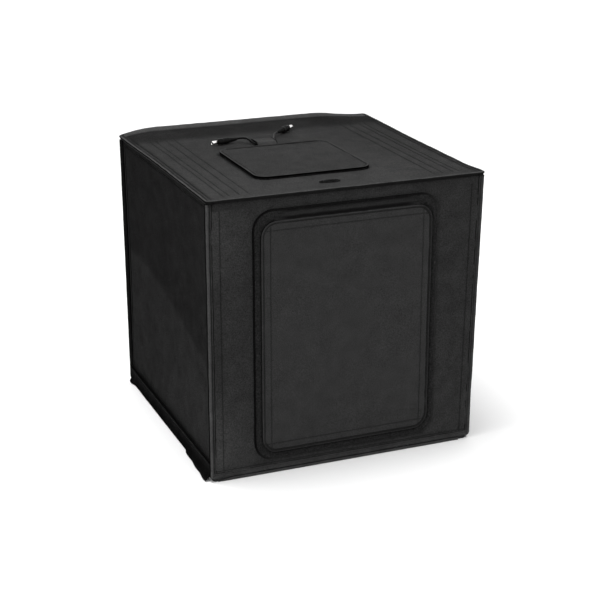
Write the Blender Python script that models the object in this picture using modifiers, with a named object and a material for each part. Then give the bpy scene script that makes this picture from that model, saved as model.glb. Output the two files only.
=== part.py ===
"""Folding enclosure tent for a desktop 3-D printer, in metres, +Z up, front towards -Y.

A cube of stiffened fabric panels. Each panel is a sandwich: an outer fabric skin that
wraps the edges, a plastic board and a silver lining. The side walls are hinged along
their middle and fold inwards as the roof comes down. The front wall has a lift-up door,
the roof a lift-up hatch and a cable port with the leads of the two light bars under it.
"""

import math

import bmesh
import bpy
from mathutils import Matrix, Vector

# ---- Driving dimensions, in metres ----------------------------------------------------

GAP = 0.0003                    # clearance between pieces that touch
CUT_OVER = 0.002                # how far a cutter runs past the face it opens

WIDTH = 0.400                   # roof, left to right
DEPTH = 0.403                   # roof, front to back
HEIGHT = 0.400                  # top of the flat roof
CREASE_Z = 0.200                # where the side walls fold

PANEL_LAYERS = (0.0009, 0.0028, 0.0007)   # skin, board, lining
PANEL_T = sum(PANEL_LAYERS) + 2 * GAP
PANEL_RIM = 0.0012              # how thick the skin is where it wraps a panel's edge

FLAP_LAYERS = (0.0005, 0.0008, 0.0004)    # the same three layers in the door and hatch
FLAP_T = sum(FLAP_LAYERS) + 2 * GAP
FLAP_RIM = 0.0008

SIDE_FACE_X = 0.1965            # outer face of a side wall
SIDE_HALF_DEPTH = 0.1927        # side walls stand between the front and back walls
END_FACE_Y = 0.198              # outer face of the front and back walls
WALL_LOW = PANEL_T + GAP
WALL_HIGH = HEIGHT - PANEL_T - GAP
BASE_FLAP_T = 0.003
BASE_FLAP_H = 0.027

RING_T = 0.0008                 # loop tape let into a skin
HOOK_T = 0.0007                 # hook tape under the door's rim
HATCH_HOOK_T = 0.0006

DOOR = dict(centre=(0.0005, 0.198), half=(0.1245, 0.166), radius=0.022)
DOOR_RING = dict(centre=(0.0, 0.1995), half=(0.136, 0.1795), radius=0.028)
DOOR_HOLE = dict(centre=(0.0, 0.1985), half=(0.112, 0.1535), radius=0.012)

HATCH = dict(centre=(-0.016, -0.041), half=(0.085, 0.085), radius=0.018)
HATCH_HOLE = dict(centre=(-0.016, -0.041), half=(0.070, 0.070), radius=0.008)
PORT_SLOT = dict(centre=(-0.020, 0.0622), half=(0.0115, 0.0083), radius=0.004)

RIDGE_FRONT_Y = 0.130           # the roof swells up along its rear edge
RIDGE_TOP = 0.0085
RIDGE_CREST_X = (-0.150, 0.130)
RIDGE_CREST_Y = 0.196
RIDGE_SINK = 0.0004

PATCH_CENTRE = (-0.014, -0.169)
PATCH_HALF = (0.0155, 0.0055)
PATCH_T = 0.001

TAB_X = (-0.035, -0.004)        # fabric tab over the cable port
TAB_Y = (0.0455, 0.084)
TAB_FOOT = 0.0035
TAB_RAMP = 0.0042
TAB_RISE = 0.0057
TAB_T = 0.001

BAR_X = 0.153                   # light bars hang under the roof, front to back
BAR_HALF_LENGTH = 0.140
BAR_W = 0.014
BAR_H = 0.008
BAR_WALL = 0.001
BAR_WEB = 0.0012
BAR_TAPE_T = 0.0015
LED_STRIP = (0.010, 0.0012)
DIFFUSER_T = 0.0012
CAP_LENGTH = 0.003

CORD_D = 0.0032
CORD_STEP = 2.4                 # spacing of a cord's points, in diameters
PLUG_RELIEF = 0.014
PLUG_BODY = 0.019
PLUG_BARREL = 0.0105
PLUG_R = 0.0048
RELIEF_R = 0.0023
BARREL_R = 0.00275
BARREL_BORE_R = 0.00125
TURN_STEPS = 24

KEEPER_LENGTH = 0.008

# The outer leads, from the middle of the cable port to the plug's strain relief
LEFT_LEAD = (
    (-0.0200, 0.0580, 0.3976),
    (-0.0260, 0.0580, 0.4002),
    (-0.0315, 0.0588, 0.4020),
    (-0.0363, 0.0620, 0.4034),
    (-0.0393, 0.0685, 0.4056),
    (-0.0420, 0.0760, 0.4076),
    (-0.0465, 0.0838, 0.4072),
    (-0.0528, 0.0893, 0.4056),
)
LEFT_PLUG_TIP = (-0.0960, 0.0775, 0.4053)
RIGHT_LEAD = (
    (-0.0200, 0.0662, 0.3976),
    (-0.0140, 0.0670, 0.4002),
    (-0.0085, 0.0690, 0.4020),
    (-0.0030, 0.0728, 0.4027),
    (0.0015, 0.0795, 0.4031),
    (0.0055, 0.0885, 0.4039),
    (0.0105, 0.0985, 0.4050),
    (0.0184, 0.1068, 0.4053),
)
RIGHT_PLUG_TIP = (0.0523, 0.1352, 0.4053)

# The inner leads, from each bar's rear cap along the roof to the cable port
LEFT_BAR_LEAD = (
    (-0.1530, 0.1436, 0.3889),
    (-0.1530, 0.1500, 0.3892),
    (-0.1510, 0.1570, 0.3904),
    (-0.1450, 0.1630, 0.3918),
    (-0.1340, 0.1660, 0.3928),
    (-0.1200, 0.1630, 0.3931),
    (-0.1000, 0.1500, 0.3931),
    (-0.0780, 0.1280, 0.3931),
    (-0.0580, 0.1000, 0.3931),
    (-0.0460, 0.0800, 0.3931),
    (-0.0390, 0.0692, 0.3931),
    (-0.0310, 0.0660, 0.3932),
    (-0.0260, 0.0660, 0.3946),
    (-0.0203, 0.0662, 0.3973),
)
RIGHT_BAR_LEAD = (
    (0.1530, 0.1436, 0.3889),
    (0.1530, 0.1500, 0.3892),
    (0.1510, 0.1570, 0.3904),
    (0.1450, 0.1630, 0.3918),
    (0.1340, 0.1660, 0.3928),
    (0.1180, 0.1620, 0.3931),
    (0.0920, 0.1440, 0.3931),
    (0.0620, 0.1180, 0.3931),
    (0.0340, 0.0900, 0.3931),
    (0.0140, 0.0700, 0.3931),
    (0.0020, 0.0610, 0.3931),
    (-0.0090, 0.0580, 0.3932),
    (-0.0140, 0.0580, 0.3946),
    (-0.0197, 0.0580, 0.3973),
)
LEFT_KEEPER = ((-0.0890, 0.1392), -45.0)      # place and the lead's direction there
RIGHT_KEEPER = ((0.0770, 0.1312), 40.9)

# Each moving body's joint axis passes through its pivot: (parent, place)
SIDE_INNER_X = SIDE_FACE_X - PANEL_T
HINGE_LOW = PANEL_T + GAP / 2
HINGE_HIGH = HEIGHT - PANEL_T - GAP / 2
DOOR_HINGE = (0.0, -END_FACE_Y - 0.0035, 0.36415)
HATCH_HINGE = (-0.016, 0.04415, 0.4039)
PIVOTS = {
    "floor": (None, (0.0, 0.0, 0.0)),
    "left_lower": ("floor", (-SIDE_INNER_X, 0.0, HINGE_LOW)),
    "left_upper": ("left_lower", (-SIDE_FACE_X, 0.0, CREASE_Z)),
    "roof": ("left_upper", (-SIDE_INNER_X, 0.0, HINGE_HIGH)),
    "right_upper": ("roof", (SIDE_INNER_X, 0.0, HINGE_HIGH)),
    "right_lower": ("right_upper", (SIDE_FACE_X, 0.0, CREASE_Z)),
    "front_wall": ("roof", (0.0, -END_FACE_Y, HINGE_HIGH)),
    "back_wall": ("roof", (0.0, END_FACE_Y, HINGE_HIGH)),
    "door": ("front_wall", DOOR_HINGE),
    "hatch": ("roof", HATCH_HINGE),
}

# Which way a panel's own +Z, its outer face, looks
FACING = {
    "up": (0.0, 0.0, 0.0),
    "down": (math.pi, 0.0, 0.0),
    "front": (math.pi / 2, 0.0, 0.0),
    "back": (math.pi / 2, 0.0, math.pi),
    "left": (math.pi / 2, 0.0, -math.pi / 2),
    "right": (math.pi / 2, 0.0, math.pi / 2),
}


# ---- Scene, materials and pivots ------------------------------------------------------

def clear_scene():
    for thing in list(bpy.data.objects):
        bpy.data.objects.remove(thing, do_unlink=True)


def new_collection(name):
    group = bpy.data.collections.new(name)
    bpy.context.scene.collection.children.link(group)
    return group


def make_material(name, colour, roughness, metallic=0.0):
    material = bpy.data.materials.new(name)
    material.use_nodes = True
    shader = material.node_tree.nodes["Principled BSDF"]
    shader.inputs["Base Color"].default_value = (*colour, 1.0)
    shader.inputs["Roughness"].default_value = roughness
    shader.inputs["Metallic"].default_value = metallic
    return material


def make_pivots(group):
    pivots = {}
    for body, (parent, place) in PIVOTS.items():
        pivot = bpy.data.objects.new("pivot_" + body, None)
        group.objects.link(pivot)
        pivot.location = place
        if parent:
            pivot.parent = pivots[parent]
            pivot.location = Vector(place) - Vector(PIVOTS[parent][1])
        pivots[body] = pivot
    return pivots


def place(thing, body, location, rotation):
    """Puts a piece or cutter at a place in the shared frame, hung on its body's pivot."""
    thing.parent = pivots[body]
    thing.location = Vector(location) - Vector(PIVOTS[body][1])
    thing.rotation_euler = rotation


# ---- Outlines and solids --------------------------------------------------------------

def inset(outline, distance):
    """The same outline drawn in by a distance, or out by a negative one."""
    half_w, half_h = outline["half"]
    return dict(
        centre=outline["centre"],
        half=(half_w - distance, half_h - distance),
        radius=max(outline["radius"] - distance, 0.0),
    )


def outline_points(outline, corner_steps=8):
    centre_x, centre_y = outline["centre"]
    half_w, half_h = outline["half"]
    radius = outline["radius"]
    corners = ((1, 1), (-1, 1), (-1, -1), (1, -1))
    points = []
    for index, (side_x, side_y) in enumerate(corners):
        corner_x = centre_x + side_x * (half_w - radius)
        corner_y = centre_y + side_y * (half_h - radius)
        steps = corner_steps if radius > 0.0 else 0
        for step in range(steps + 1):
            angle = math.radians(90.0 * index)
            angle += math.radians(90.0) * step / max(steps, 1)
            points.append((
                corner_x + radius * math.cos(angle),
                corner_y + radius * math.sin(angle),
            ))
    return points


def flat_solid(name, loops, low, high, group):
    """A plate between two heights, from closed loops of points; inner loops are holes."""
    curve = bpy.data.curves.new(name, "CURVE")
    curve.dimensions = "2D"
    curve.fill_mode = "BOTH"
    curve.extrude = (high - low) / 2
    for loop in loops:
        spline = curve.splines.new("POLY")
        spline.points.add(len(loop) - 1)
        for point, (x, y) in zip(spline.points, loop):
            point.co = (x, y, 0.0, 1.0)
        spline.use_cyclic_u = True
    guide = bpy.data.objects.new(name + "_outline", curve)
    group.objects.link(guide)
    mesh = mesh_of(guide)
    mesh.transform(Matrix.Translation((0.0, 0.0, (high + low) / 2)))
    bpy.data.objects.remove(guide, do_unlink=True)
    solid = bpy.data.objects.new(name, mesh)
    group.objects.link(solid)
    return solid


def mesh_of(thing):
    """The thing as a closed mesh, its caps welded on and its faces turned outwards."""
    shape = thing.evaluated_get(bpy.context.evaluated_depsgraph_get())
    mesh = bpy.data.meshes.new_from_object(shape)
    cage = bmesh.new()
    cage.from_mesh(mesh)
    bmesh.ops.remove_doubles(cage, verts=cage.verts, dist=0.00001)
    bmesh.ops.recalc_face_normals(cage, faces=cage.faces)
    cage.to_mesh(mesh)
    cage.free()
    return mesh


def combine(piece, other, operation):
    """Cuts a piece with another shape, or joins the other shape to it."""
    other.hide_render = True
    other.display_type = "WIRE"
    boolean = piece.modifiers.new(operation.lower() + "_" + other.name, "BOOLEAN")
    boolean.operation = operation
    boolean.object = other


def cut_hole(piece, outline, low, high):
    cutter = flat_solid(piece.name + "_cutter", [outline_points(outline)], low, high, cutters)
    cutter.parent = piece.parent
    cutter.location = piece.location
    cutter.rotation_euler = piece.rotation_euler
    combine(piece, cutter, "DIFFERENCE")


def plate(name, spot, outline, low, high, material, holes=()):
    """A flat piece at a spot (body, origin, facing), with its outline in the spot's plane."""
    body, origin, facing = spot
    loops = [outline_points(outline)]
    loops += [outline_points(hole) for hole in holes]
    piece = flat_solid(name, loops, low, high, parts)
    piece.data.materials.append(material)
    place(piece, body, origin, FACING[facing])
    return piece


def rectangle(low_x, high_x, low_y, high_y, radius=0.0):
    return dict(
        centre=((low_x + high_x) / 2, (low_y + high_y) / 2),
        half=((high_x - low_x) / 2, (high_y - low_y) / 2),
        radius=radius,
    )


# ---- Fabric panels --------------------------------------------------------------------

def sandwich(prefix, spot, outline, layers, rim, holes=(), skin_holes=None):
    """Skin, board and lining, from the outer face at the spot's plane inwards."""
    skin_t, board_t, lining_t = layers
    total = skin_t + board_t + lining_t + 2 * GAP
    board_low = -skin_t - GAP - board_t
    inner = inset(outline, rim + GAP)
    skin = plate(
        prefix + "_skin", spot, outline, -total, 0.0, fabric,
        holes if skin_holes is None else skin_holes,
    )
    cut_hole(skin, inset(outline, rim), -total - CUT_OVER, -skin_t)
    plate(prefix + "_board", spot, inner, board_low, board_low + board_t, board, holes)
    plate(prefix + "_lining", spot, inner, -total, lining_t - total, lining, holes)
    return skin


def make_floor():
    skin_t, board_t, lining_t = PANEL_LAYERS
    spot = ("floor", (0.0, 0.0, 0.0), "up")
    mat = rectangle(-SIDE_FACE_X, SIDE_FACE_X, -END_FACE_Y, END_FACE_Y, 0.004)
    inner = inset(mat, PANEL_RIM + GAP)
    board_low = skin_t + GAP
    plate("floor_skin", spot, mat, 0.0, skin_t, fabric)
    plate("floor_board", spot, inner, board_low, board_low + board_t, board)
    plate("floor_lining", spot, inner, PANEL_T - lining_t, PANEL_T, lining)
    for side, facing, sign in (("left", "left", -1), ("right", "right", 1)):
        face_x = sign * (SIDE_FACE_X + GAP)
        strip = rectangle(-SIDE_HALF_DEPTH, SIDE_HALF_DEPTH, 0.0, BASE_FLAP_H, 0.0015)
        spot = ("floor", (face_x, 0.0, 0.0), facing)
        plate(side + "_base_flap", spot, strip, 0.0, BASE_FLAP_T, fabric)


def make_side_walls():
    for side, sign in (("left", -1), ("right", 1)):
        halves = (
            ("lower", WALL_LOW, CREASE_Z - GAP / 2),
            ("upper", CREASE_Z + GAP / 2, WALL_HIGH),
        )
        for half, low, high in halves:
            name = side + "_" + half
            spot = (name, (sign * SIDE_FACE_X, 0.0, 0.0), side)
            face = rectangle(-SIDE_HALF_DEPTH, SIDE_HALF_DEPTH, low, high, 0.002)
            sandwich(name, spot, face, PANEL_LAYERS, PANEL_RIM)


def make_end_walls():
    half_w = WIDTH / 2
    face = rectangle(-half_w, half_w, WALL_LOW, WALL_HIGH, 0.003)
    back = ("back_wall", (0.0, END_FACE_Y, 0.0), "back")
    sandwich("back", back, face, PANEL_LAYERS, PANEL_RIM)

    front = ("front_wall", (0.0, -END_FACE_Y, 0.0), "front")
    ring_seat = inset(DOOR_RING, -GAP)
    sandwich("front", front, face, PANEL_LAYERS, PANEL_RIM, [DOOR_HOLE], [ring_seat])
    plate("door_loop_frame", front, DOOR_RING, -PANEL_LAYERS[0], RING_T - PANEL_LAYERS[0],
          loop_tape, [DOOR_HOLE])

    door = ("door", (0.0, DOOR_HINGE[1], 0.0), "front")
    sandwich("door", door, DOOR, FLAP_LAYERS, FLAP_RIM)
    hook_high = -FLAP_T - GAP
    plate("door_hook_tape", door, inset(DOOR, 0.0005), hook_high - HOOK_T, hook_high,
          hook_tape, [DOOR_HOLE])


# ---- Roof and hatch -------------------------------------------------------------------

def make_ridge():
    """The low swelling along the roof's rear edge, highest at the back."""
    half_w = WIDTH / 2 - PANEL_RIM
    rear_y = DEPTH / 2 - PANEL_RIM
    mesh = bpy.data.meshes.new("roof_ridge")
    cage = bmesh.new()
    bmesh.ops.create_cube(cage, size=2.0)
    for vert in cage.verts:
        at_right = vert.co.x > 0
        at_rear = vert.co.y > 0
        if vert.co.z < 0:
            vert.co.x = half_w if at_right else -half_w
            vert.co.y = rear_y if at_rear else RIDGE_FRONT_Y
            vert.co.z = -RIDGE_SINK
        else:
            crest_x = RIDGE_CREST_X[1] if at_right else RIDGE_CREST_X[0]
            vert.co.x = crest_x
            vert.co.y = RIDGE_CREST_Y if at_rear else RIDGE_CREST_Y - 0.006
            vert.co.z = RIDGE_TOP
    cage.to_mesh(mesh)
    cage.free()
    ridge = bpy.data.objects.new("roof_ridge", mesh)
    cutters.objects.link(ridge)
    place(ridge, "roof", (0.0, 0.0, HEIGHT), FACING["up"])
    return ridge


def make_roof():
    top = ("roof", (0.0, 0.0, HEIGHT), "up")
    face = rectangle(-WIDTH / 2, WIDTH / 2, -DEPTH / 2, DEPTH / 2, 0.005)
    ring = inset(HATCH, 0.002)
    ring_seat = inset(ring, -GAP)
    skin = sandwich("roof", top, face, PANEL_LAYERS, PANEL_RIM,
                    [HATCH_HOLE, PORT_SLOT], [ring_seat, PORT_SLOT])
    combine(skin, make_ridge(), "UNION")
    plate("hatch_loop_frame", top, ring, -PANEL_LAYERS[0], RING_T - PANEL_LAYERS[0],
          loop_tape, [HATCH_HOLE])

    hatch_top = FLAP_T + HATCH_HOOK_T + 2 * GAP
    hatch = ("hatch", (0.0, 0.0, HEIGHT + hatch_top), "up")
    sandwich("hatch", hatch, HATCH, FLAP_LAYERS, FLAP_RIM)
    hook_high = -FLAP_T - GAP
    plate("hatch_hook_tape", hatch, inset(HATCH, 0.0005), hook_high - HATCH_HOOK_T,
          hook_high, hook_tape, [HATCH_HOLE])
    make_keeper_patch()
    make_port_tab()


def make_keeper_patch():
    mesh = bpy.data.meshes.new("keeper_patch")
    cage = bmesh.new()
    bmesh.ops.create_cone(
        cage, cap_ends=True, cap_tris=False, segments=32,
        radius1=1.0, radius2=1.0, depth=PATCH_T,
    )
    bmesh.ops.scale(cage, verts=cage.verts, vec=(PATCH_HALF[0], PATCH_HALF[1], 1.0))
    cage.to_mesh(mesh)
    cage.free()
    patch = bpy.data.objects.new("keeper_patch", mesh)
    patch.data.materials.append(loop_tape)
    parts.objects.link(patch)
    place(patch, "roof", (*PATCH_CENTRE, HEIGHT + GAP + PATCH_T / 2), FACING["up"])


def strap_profile(feet, wall, rise, ramp, thick):
    """Half-profile points of a strap that arches over a gap, mirrored about x = 0.

    feet is the outer half-width, wall the inner edge of each foot, rise the height of
    the arch's underside and ramp how far its sides lean in.
    """
    right = [
        (wall, 0.0), (feet, 0.0), (feet, thick), (wall, thick),
        (wall - ramp, rise + thick),
    ]
    left = [(-x, y) for x, y in reversed(right)]
    under = [(-wall + thick, 0.0), (-wall + thick + ramp, rise)]
    under += [(wall - thick - ramp, rise), (wall - thick, 0.0)]
    return right[1:] + left[:-1] + under


def make_port_tab():
    half = (TAB_Y[1] - TAB_Y[0]) / 2
    profile = strap_profile(half, half - TAB_FOOT, TAB_RISE - TAB_T, TAB_RAMP, TAB_T)
    half_x = (TAB_X[1] - TAB_X[0]) / 2
    tab = flat_solid("cable_port_tab", [profile], -half_x, half_x, parts)
    tab.data.materials.append(fabric)
    middle = (sum(TAB_X) / 2, sum(TAB_Y) / 2, HEIGHT + GAP)
    place(tab, "roof", middle, FACING["right"])


# ---- Light bars -----------------------------------------------------------------------

def extrusion(name, profile, length, body, location, material):
    """A profile in X and Z, drawn in its own x and y, run along Y and centred there."""
    piece = flat_solid(name, [profile], -length / 2, length / 2, parts)
    piece.data.materials.append(material)
    place(piece, body, location, FACING["front"])
    return piece


def box_profile(low_x, high_x, low_z, high_z):
    return [(low_x, low_z), (high_x, low_z), (high_x, high_z), (low_x, high_z)]


def make_light_bars():
    half_w = BAR_W / 2
    channel_w = half_w - BAR_WALL
    length = 2 * BAR_HALF_LENGTH
    tape_top = -PANEL_T - GAP
    bar_top = tape_top - BAR_TAPE_T - GAP
    bar_low = bar_top - BAR_H
    web_low = bar_top - BAR_WEB
    channel = [
        (half_w, bar_low), (half_w, bar_top), (-half_w, bar_top), (-half_w, bar_low),
        (-channel_w, bar_low), (-channel_w, web_low), (channel_w, web_low),
        (channel_w, bar_low),
    ]
    strip_w, strip_t = LED_STRIP
    strip_top = web_low - GAP
    strip = box_profile(-strip_w / 2, strip_w / 2, strip_top - strip_t, strip_top)
    cover_w = channel_w - GAP
    cover = box_profile(-cover_w, cover_w, bar_low, bar_low + DIFFUSER_T)
    tape = box_profile(-half_w, half_w, tape_top - BAR_TAPE_T, tape_top)
    cap = box_profile(-half_w, half_w, bar_low, bar_top)
    cap_y = BAR_HALF_LENGTH + GAP + CAP_LENGTH / 2
    for side, sign in (("left", -1), ("right", 1)):
        bar = side + "_bar_"
        middle = (sign * BAR_X, 0.0, HEIGHT)
        extrusion(bar + "channel", channel, length, "roof", middle, aluminium)
        extrusion(bar + "led_strip", strip, length - 0.010, "roof", middle, white_board)
        extrusion(bar + "diffuser", cover, length, "roof", middle, frosted)
        extrusion(bar + "tape", tape, length, "roof", middle, hook_tape)
        for end, end_sign in (("front", -1), ("rear", 1)):
            end_place = (sign * BAR_X, end_sign * cap_y, HEIGHT)
            extrusion(bar + end + "_cap", cap, CAP_LENGTH, "roof", end_place, plastic)


# ---- Leads and plugs ------------------------------------------------------------------

def smooth_route(route, spacing):
    """Evenly spaced points on a smooth curve through a route's own points."""
    knots = [Vector(point) for point in route]
    fine = []
    for index in range(len(knots) - 1):
        before = knots[max(index - 1, 0)]
        start = knots[index]
        end = knots[index + 1]
        after = knots[min(index + 2, len(knots) - 1)]
        lean_in = (end - before) / 6
        lean_out = (after - start) / 6
        for step in range(16):
            t = step / 16
            u = 1.0 - t
            fine.append(
                start * u ** 3
                + (start + lean_in) * 3 * u * u * t
                + (end - lean_out) * 3 * u * t * t
                + end * t ** 3
            )
    fine.append(knots[-1])
    travelled = [0.0]
    for first, second in zip(fine, fine[1:]):
        travelled.append(travelled[-1] + (second - first).length)
    count = max(round(travelled[-1] / spacing), 2)
    points = []
    place_in = 0
    for index in range(count + 1):
        wanted = travelled[-1] * index / count
        while place_in < len(fine) - 2 and travelled[place_in + 1] < wanted:
            place_in += 1
        share = (wanted - travelled[place_in])
        share /= travelled[place_in + 1] - travelled[place_in]
        points.append(fine[place_in].lerp(fine[place_in + 1], share))
    return points


def make_cord(name, route):
    curve = bpy.data.curves.new(name, "CURVE")
    curve.dimensions = "3D"
    curve.bevel_depth = CORD_D / 2
    curve.bevel_resolution = 2
    curve.use_fill_caps = True
    points = smooth_route(route, CORD_STEP * CORD_D)
    spline = curve.splines.new("POLY")
    spline.points.add(len(points) - 1)
    for point, spot in zip(spline.points, points):
        point.co = (*spot, 1.0)
    curve.materials.append(cord_rubber)
    cord = bpy.data.objects.new(name, curve)
    parts.objects.link(cord)
    place(cord, "roof", (0.0, 0.0, 0.0), FACING["up"])


def turned(name, profile, location, direction, material):
    """A profile of (radius, height) turned about +Z, then laid along a direction."""
    mesh = bpy.data.meshes.new(name)
    cage = bmesh.new()
    verts = [cage.verts.new((radius, 0.0, height)) for radius, height in profile]
    for first, second in zip(verts, verts[1:]):
        cage.edges.new((first, second))
    cage.to_mesh(mesh)
    cage.free()
    mesh.materials.append(material)
    piece = bpy.data.objects.new(name, mesh)
    parts.objects.link(piece)
    spin = piece.modifiers.new("turn", "SCREW")
    spin.steps = TURN_STEPS
    spin.render_steps = TURN_STEPS
    spin.use_merge_vertices = True
    spin.merge_threshold = 0.00001
    spin.use_smooth_shade = True
    turn = Vector(direction).to_track_quat("Z", "Y").to_euler()
    place(piece, "roof", location, turn)


def make_plug(prefix, lead, tip):
    """Moulded grip with its strain relief, and the metal barrel that it holds."""
    tip = Vector(tip)
    lead_end = Vector(lead[-1])
    along = Vector((tip.x - lead_end.x, tip.y - lead_end.y, 0.0)).normalized()
    body_end = tip - along * PLUG_BARREL
    body_length = PLUG_RELIEF + PLUG_BODY - GAP
    chamfer = 0.0006
    grip = [
        (0.0, body_length), (PLUG_R - chamfer, body_length),
        (PLUG_R, body_length - chamfer), (PLUG_R, PLUG_RELIEF),
        (RELIEF_R, 0.0), (0.0, 0.0),
    ]
    barrel = [
        (0.0, 0.0015), (BARREL_BORE_R, 0.0015), (BARREL_BORE_R, PLUG_BARREL),
        (BARREL_R, PLUG_BARREL), (BARREL_R, 0.0), (0.0, 0.0),
    ]
    body_start = body_end - along * (body_length + GAP)
    turned(prefix + "_plug_body", grip, body_start, along, cord_rubber)
    turned(prefix + "_plug_barrel", barrel, body_end, along, chrome)


def make_keeper(name, spot):
    """A strap sewn under the roof that holds an inner lead up."""
    (x, y), heading = spot
    outer = 0.007
    profile = strap_profile(outer, 0.0034, 0.0040, 0.0, 0.0007)
    profile = [(across, -down) for across, down in profile]
    keeper = flat_solid(name, [profile], -KEEPER_LENGTH / 2, KEEPER_LENGTH / 2, parts)
    keeper.data.materials.append(fabric)
    top = HEIGHT - PANEL_T - GAP
    turn = (math.pi / 2, 0.0, math.radians(90.0 + heading))
    place(keeper, "roof", (x, y, top), turn)


def make_leads():
    make_cord("left_lead", LEFT_LEAD)
    make_cord("right_lead", RIGHT_LEAD)
    make_cord("left_bar_lead", LEFT_BAR_LEAD)
    make_cord("right_bar_lead", RIGHT_BAR_LEAD)
    make_plug("left", LEFT_LEAD, LEFT_PLUG_TIP)
    make_plug("right", RIGHT_LEAD, RIGHT_PLUG_TIP)
    make_keeper("left_lead_keeper", LEFT_KEEPER)
    make_keeper("right_lead_keeper", RIGHT_KEEPER)


# ---- Build ----------------------------------------------------------------------------

clear_scene()
parts = new_collection("printer_enclosure_tent")
cutters = new_collection("cutters")
pivots = make_pivots(parts)

fabric = make_material("black_fabric", (0.020, 0.020, 0.021), 0.62)
board = make_material("pp_board", (0.055, 0.055, 0.058), 0.50)
lining = make_material("silver_lining", (0.72, 0.73, 0.75), 0.32, 0.6)
loop_tape = make_material("loop_tape", (0.008, 0.008, 0.008), 0.95)
hook_tape = make_material("hook_tape", (0.012, 0.012, 0.012), 0.80)
aluminium = make_material("bar_aluminium", (0.80, 0.80, 0.81), 0.35, 1.0)
frosted = make_material("diffuser", (0.90, 0.90, 0.88), 0.45)
white_board = make_material("led_board", (0.85, 0.85, 0.83), 0.40)
plastic = make_material("cap_plastic", (0.03, 0.03, 0.03), 0.50)
cord_rubber = make_material("cord_rubber", (0.016, 0.016, 0.017), 0.45)
chrome = make_material("plug_metal", (0.85, 0.84, 0.82), 0.18, 1.0)

make_floor()
make_side_walls()
make_end_walls()
make_roof()
make_light_bars()
make_leads()
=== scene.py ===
import math

import bmesh
import bpy
import numpy as np
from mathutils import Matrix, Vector, noise


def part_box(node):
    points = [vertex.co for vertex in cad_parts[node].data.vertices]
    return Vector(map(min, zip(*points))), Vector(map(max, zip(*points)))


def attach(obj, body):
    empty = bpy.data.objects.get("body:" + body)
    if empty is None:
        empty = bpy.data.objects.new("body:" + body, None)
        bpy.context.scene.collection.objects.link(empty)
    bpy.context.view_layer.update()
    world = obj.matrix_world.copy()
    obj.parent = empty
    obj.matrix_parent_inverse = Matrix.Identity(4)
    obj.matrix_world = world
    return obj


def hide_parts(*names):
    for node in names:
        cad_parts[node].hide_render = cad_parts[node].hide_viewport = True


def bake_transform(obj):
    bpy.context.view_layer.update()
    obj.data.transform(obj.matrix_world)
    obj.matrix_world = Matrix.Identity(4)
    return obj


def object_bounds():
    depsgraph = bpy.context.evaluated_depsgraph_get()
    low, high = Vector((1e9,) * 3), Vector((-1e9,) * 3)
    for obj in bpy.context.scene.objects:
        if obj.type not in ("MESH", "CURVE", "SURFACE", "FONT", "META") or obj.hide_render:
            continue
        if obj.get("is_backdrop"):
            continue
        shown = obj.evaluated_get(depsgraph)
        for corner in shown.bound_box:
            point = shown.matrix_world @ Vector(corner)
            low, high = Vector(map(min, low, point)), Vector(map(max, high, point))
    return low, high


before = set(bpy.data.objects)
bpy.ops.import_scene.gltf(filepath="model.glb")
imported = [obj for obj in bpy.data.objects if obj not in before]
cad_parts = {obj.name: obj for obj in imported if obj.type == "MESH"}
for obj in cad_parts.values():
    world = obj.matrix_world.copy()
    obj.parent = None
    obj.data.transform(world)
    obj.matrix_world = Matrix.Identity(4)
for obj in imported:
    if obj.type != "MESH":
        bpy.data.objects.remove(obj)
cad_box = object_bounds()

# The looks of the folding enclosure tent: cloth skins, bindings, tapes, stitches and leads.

MM = 0.001

# ---- Camera ---------------------------------------------------------------------------

CAMERA_PLACE = Vector((-0.7913, -1.9754, 0.9269))
CAMERA_AIM = Vector((0.01145, 0.0, 0.17281))
CAMERA_LENS = 90.74


def make_camera():
    data = bpy.data.cameras.new("camera")
    data.lens = CAMERA_LENS
    data.sensor_width = 36.0
    data.clip_start = 0.05
    data.clip_end = 50.0
    camera = bpy.data.objects.new("camera", data)
    camera.location = CAMERA_PLACE
    camera.rotation_euler = (CAMERA_AIM - CAMERA_PLACE).to_track_quat("-Z", "Y").to_euler()
    bpy.context.scene.collection.objects.link(camera)
    bpy.context.scene.camera = camera


# ---- Materials ------------------------------------------------------------------------

BAND_PERIOD = 0.314  # metres from band to band of a wave texture at scale 1


def add_node(tree, kind, inputs=None, **settings):
    """A new node with its settings, and its unlinked inputs, filled in."""
    node = tree.nodes.new(kind)
    for label, value in settings.items():
        setattr(node, label, value)
    for label, value in (inputs or {}).items():
        node.inputs[label].default_value = value
    return node


def join(tree, *links):
    """Makes links, each given as (output, input)."""
    for output, target in links:
        tree.links.new(output, target)


def shader_input(material, label):
    return material.node_tree.nodes["Principled BSDF"].inputs[label]


def new_finish(name, rough, metallic=0.0, specular=0.5):
    material = bpy.data.materials.new(name)
    material.use_nodes = True
    shader_input(material, "Roughness").default_value = rough
    shader_input(material, "Metallic").default_value = metallic
    shader_input(material, "Specular IOR Level").default_value = specular
    return material


def object_coords(tree):
    for node in tree.nodes:
        if node.type == "TEX_COORD":
            return node.outputs["Object"]
    return tree.nodes.new("ShaderNodeTexCoord").outputs["Object"]


def noise_value(tree, scale, detail=3.0, stretch=None):
    coords = object_coords(tree)
    if stretch:
        mapping = add_node(tree, "ShaderNodeMapping", {"Scale": stretch})
        join(tree, (coords, mapping.inputs["Vector"]))
        coords = mapping.outputs["Vector"]
    grain = add_node(tree, "ShaderNodeTexNoise", {"Scale": scale, "Detail": detail})
    join(tree, (coords, grain.inputs["Vector"]))
    return grain.outputs["Fac"]


def cell_value(tree, scale):
    cells = add_node(tree, "ShaderNodeTexVoronoi", {"Scale": scale}, feature="F1")
    join(tree, (object_coords(tree), cells.inputs["Vector"]))
    return cells.outputs["Distance"]


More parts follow.
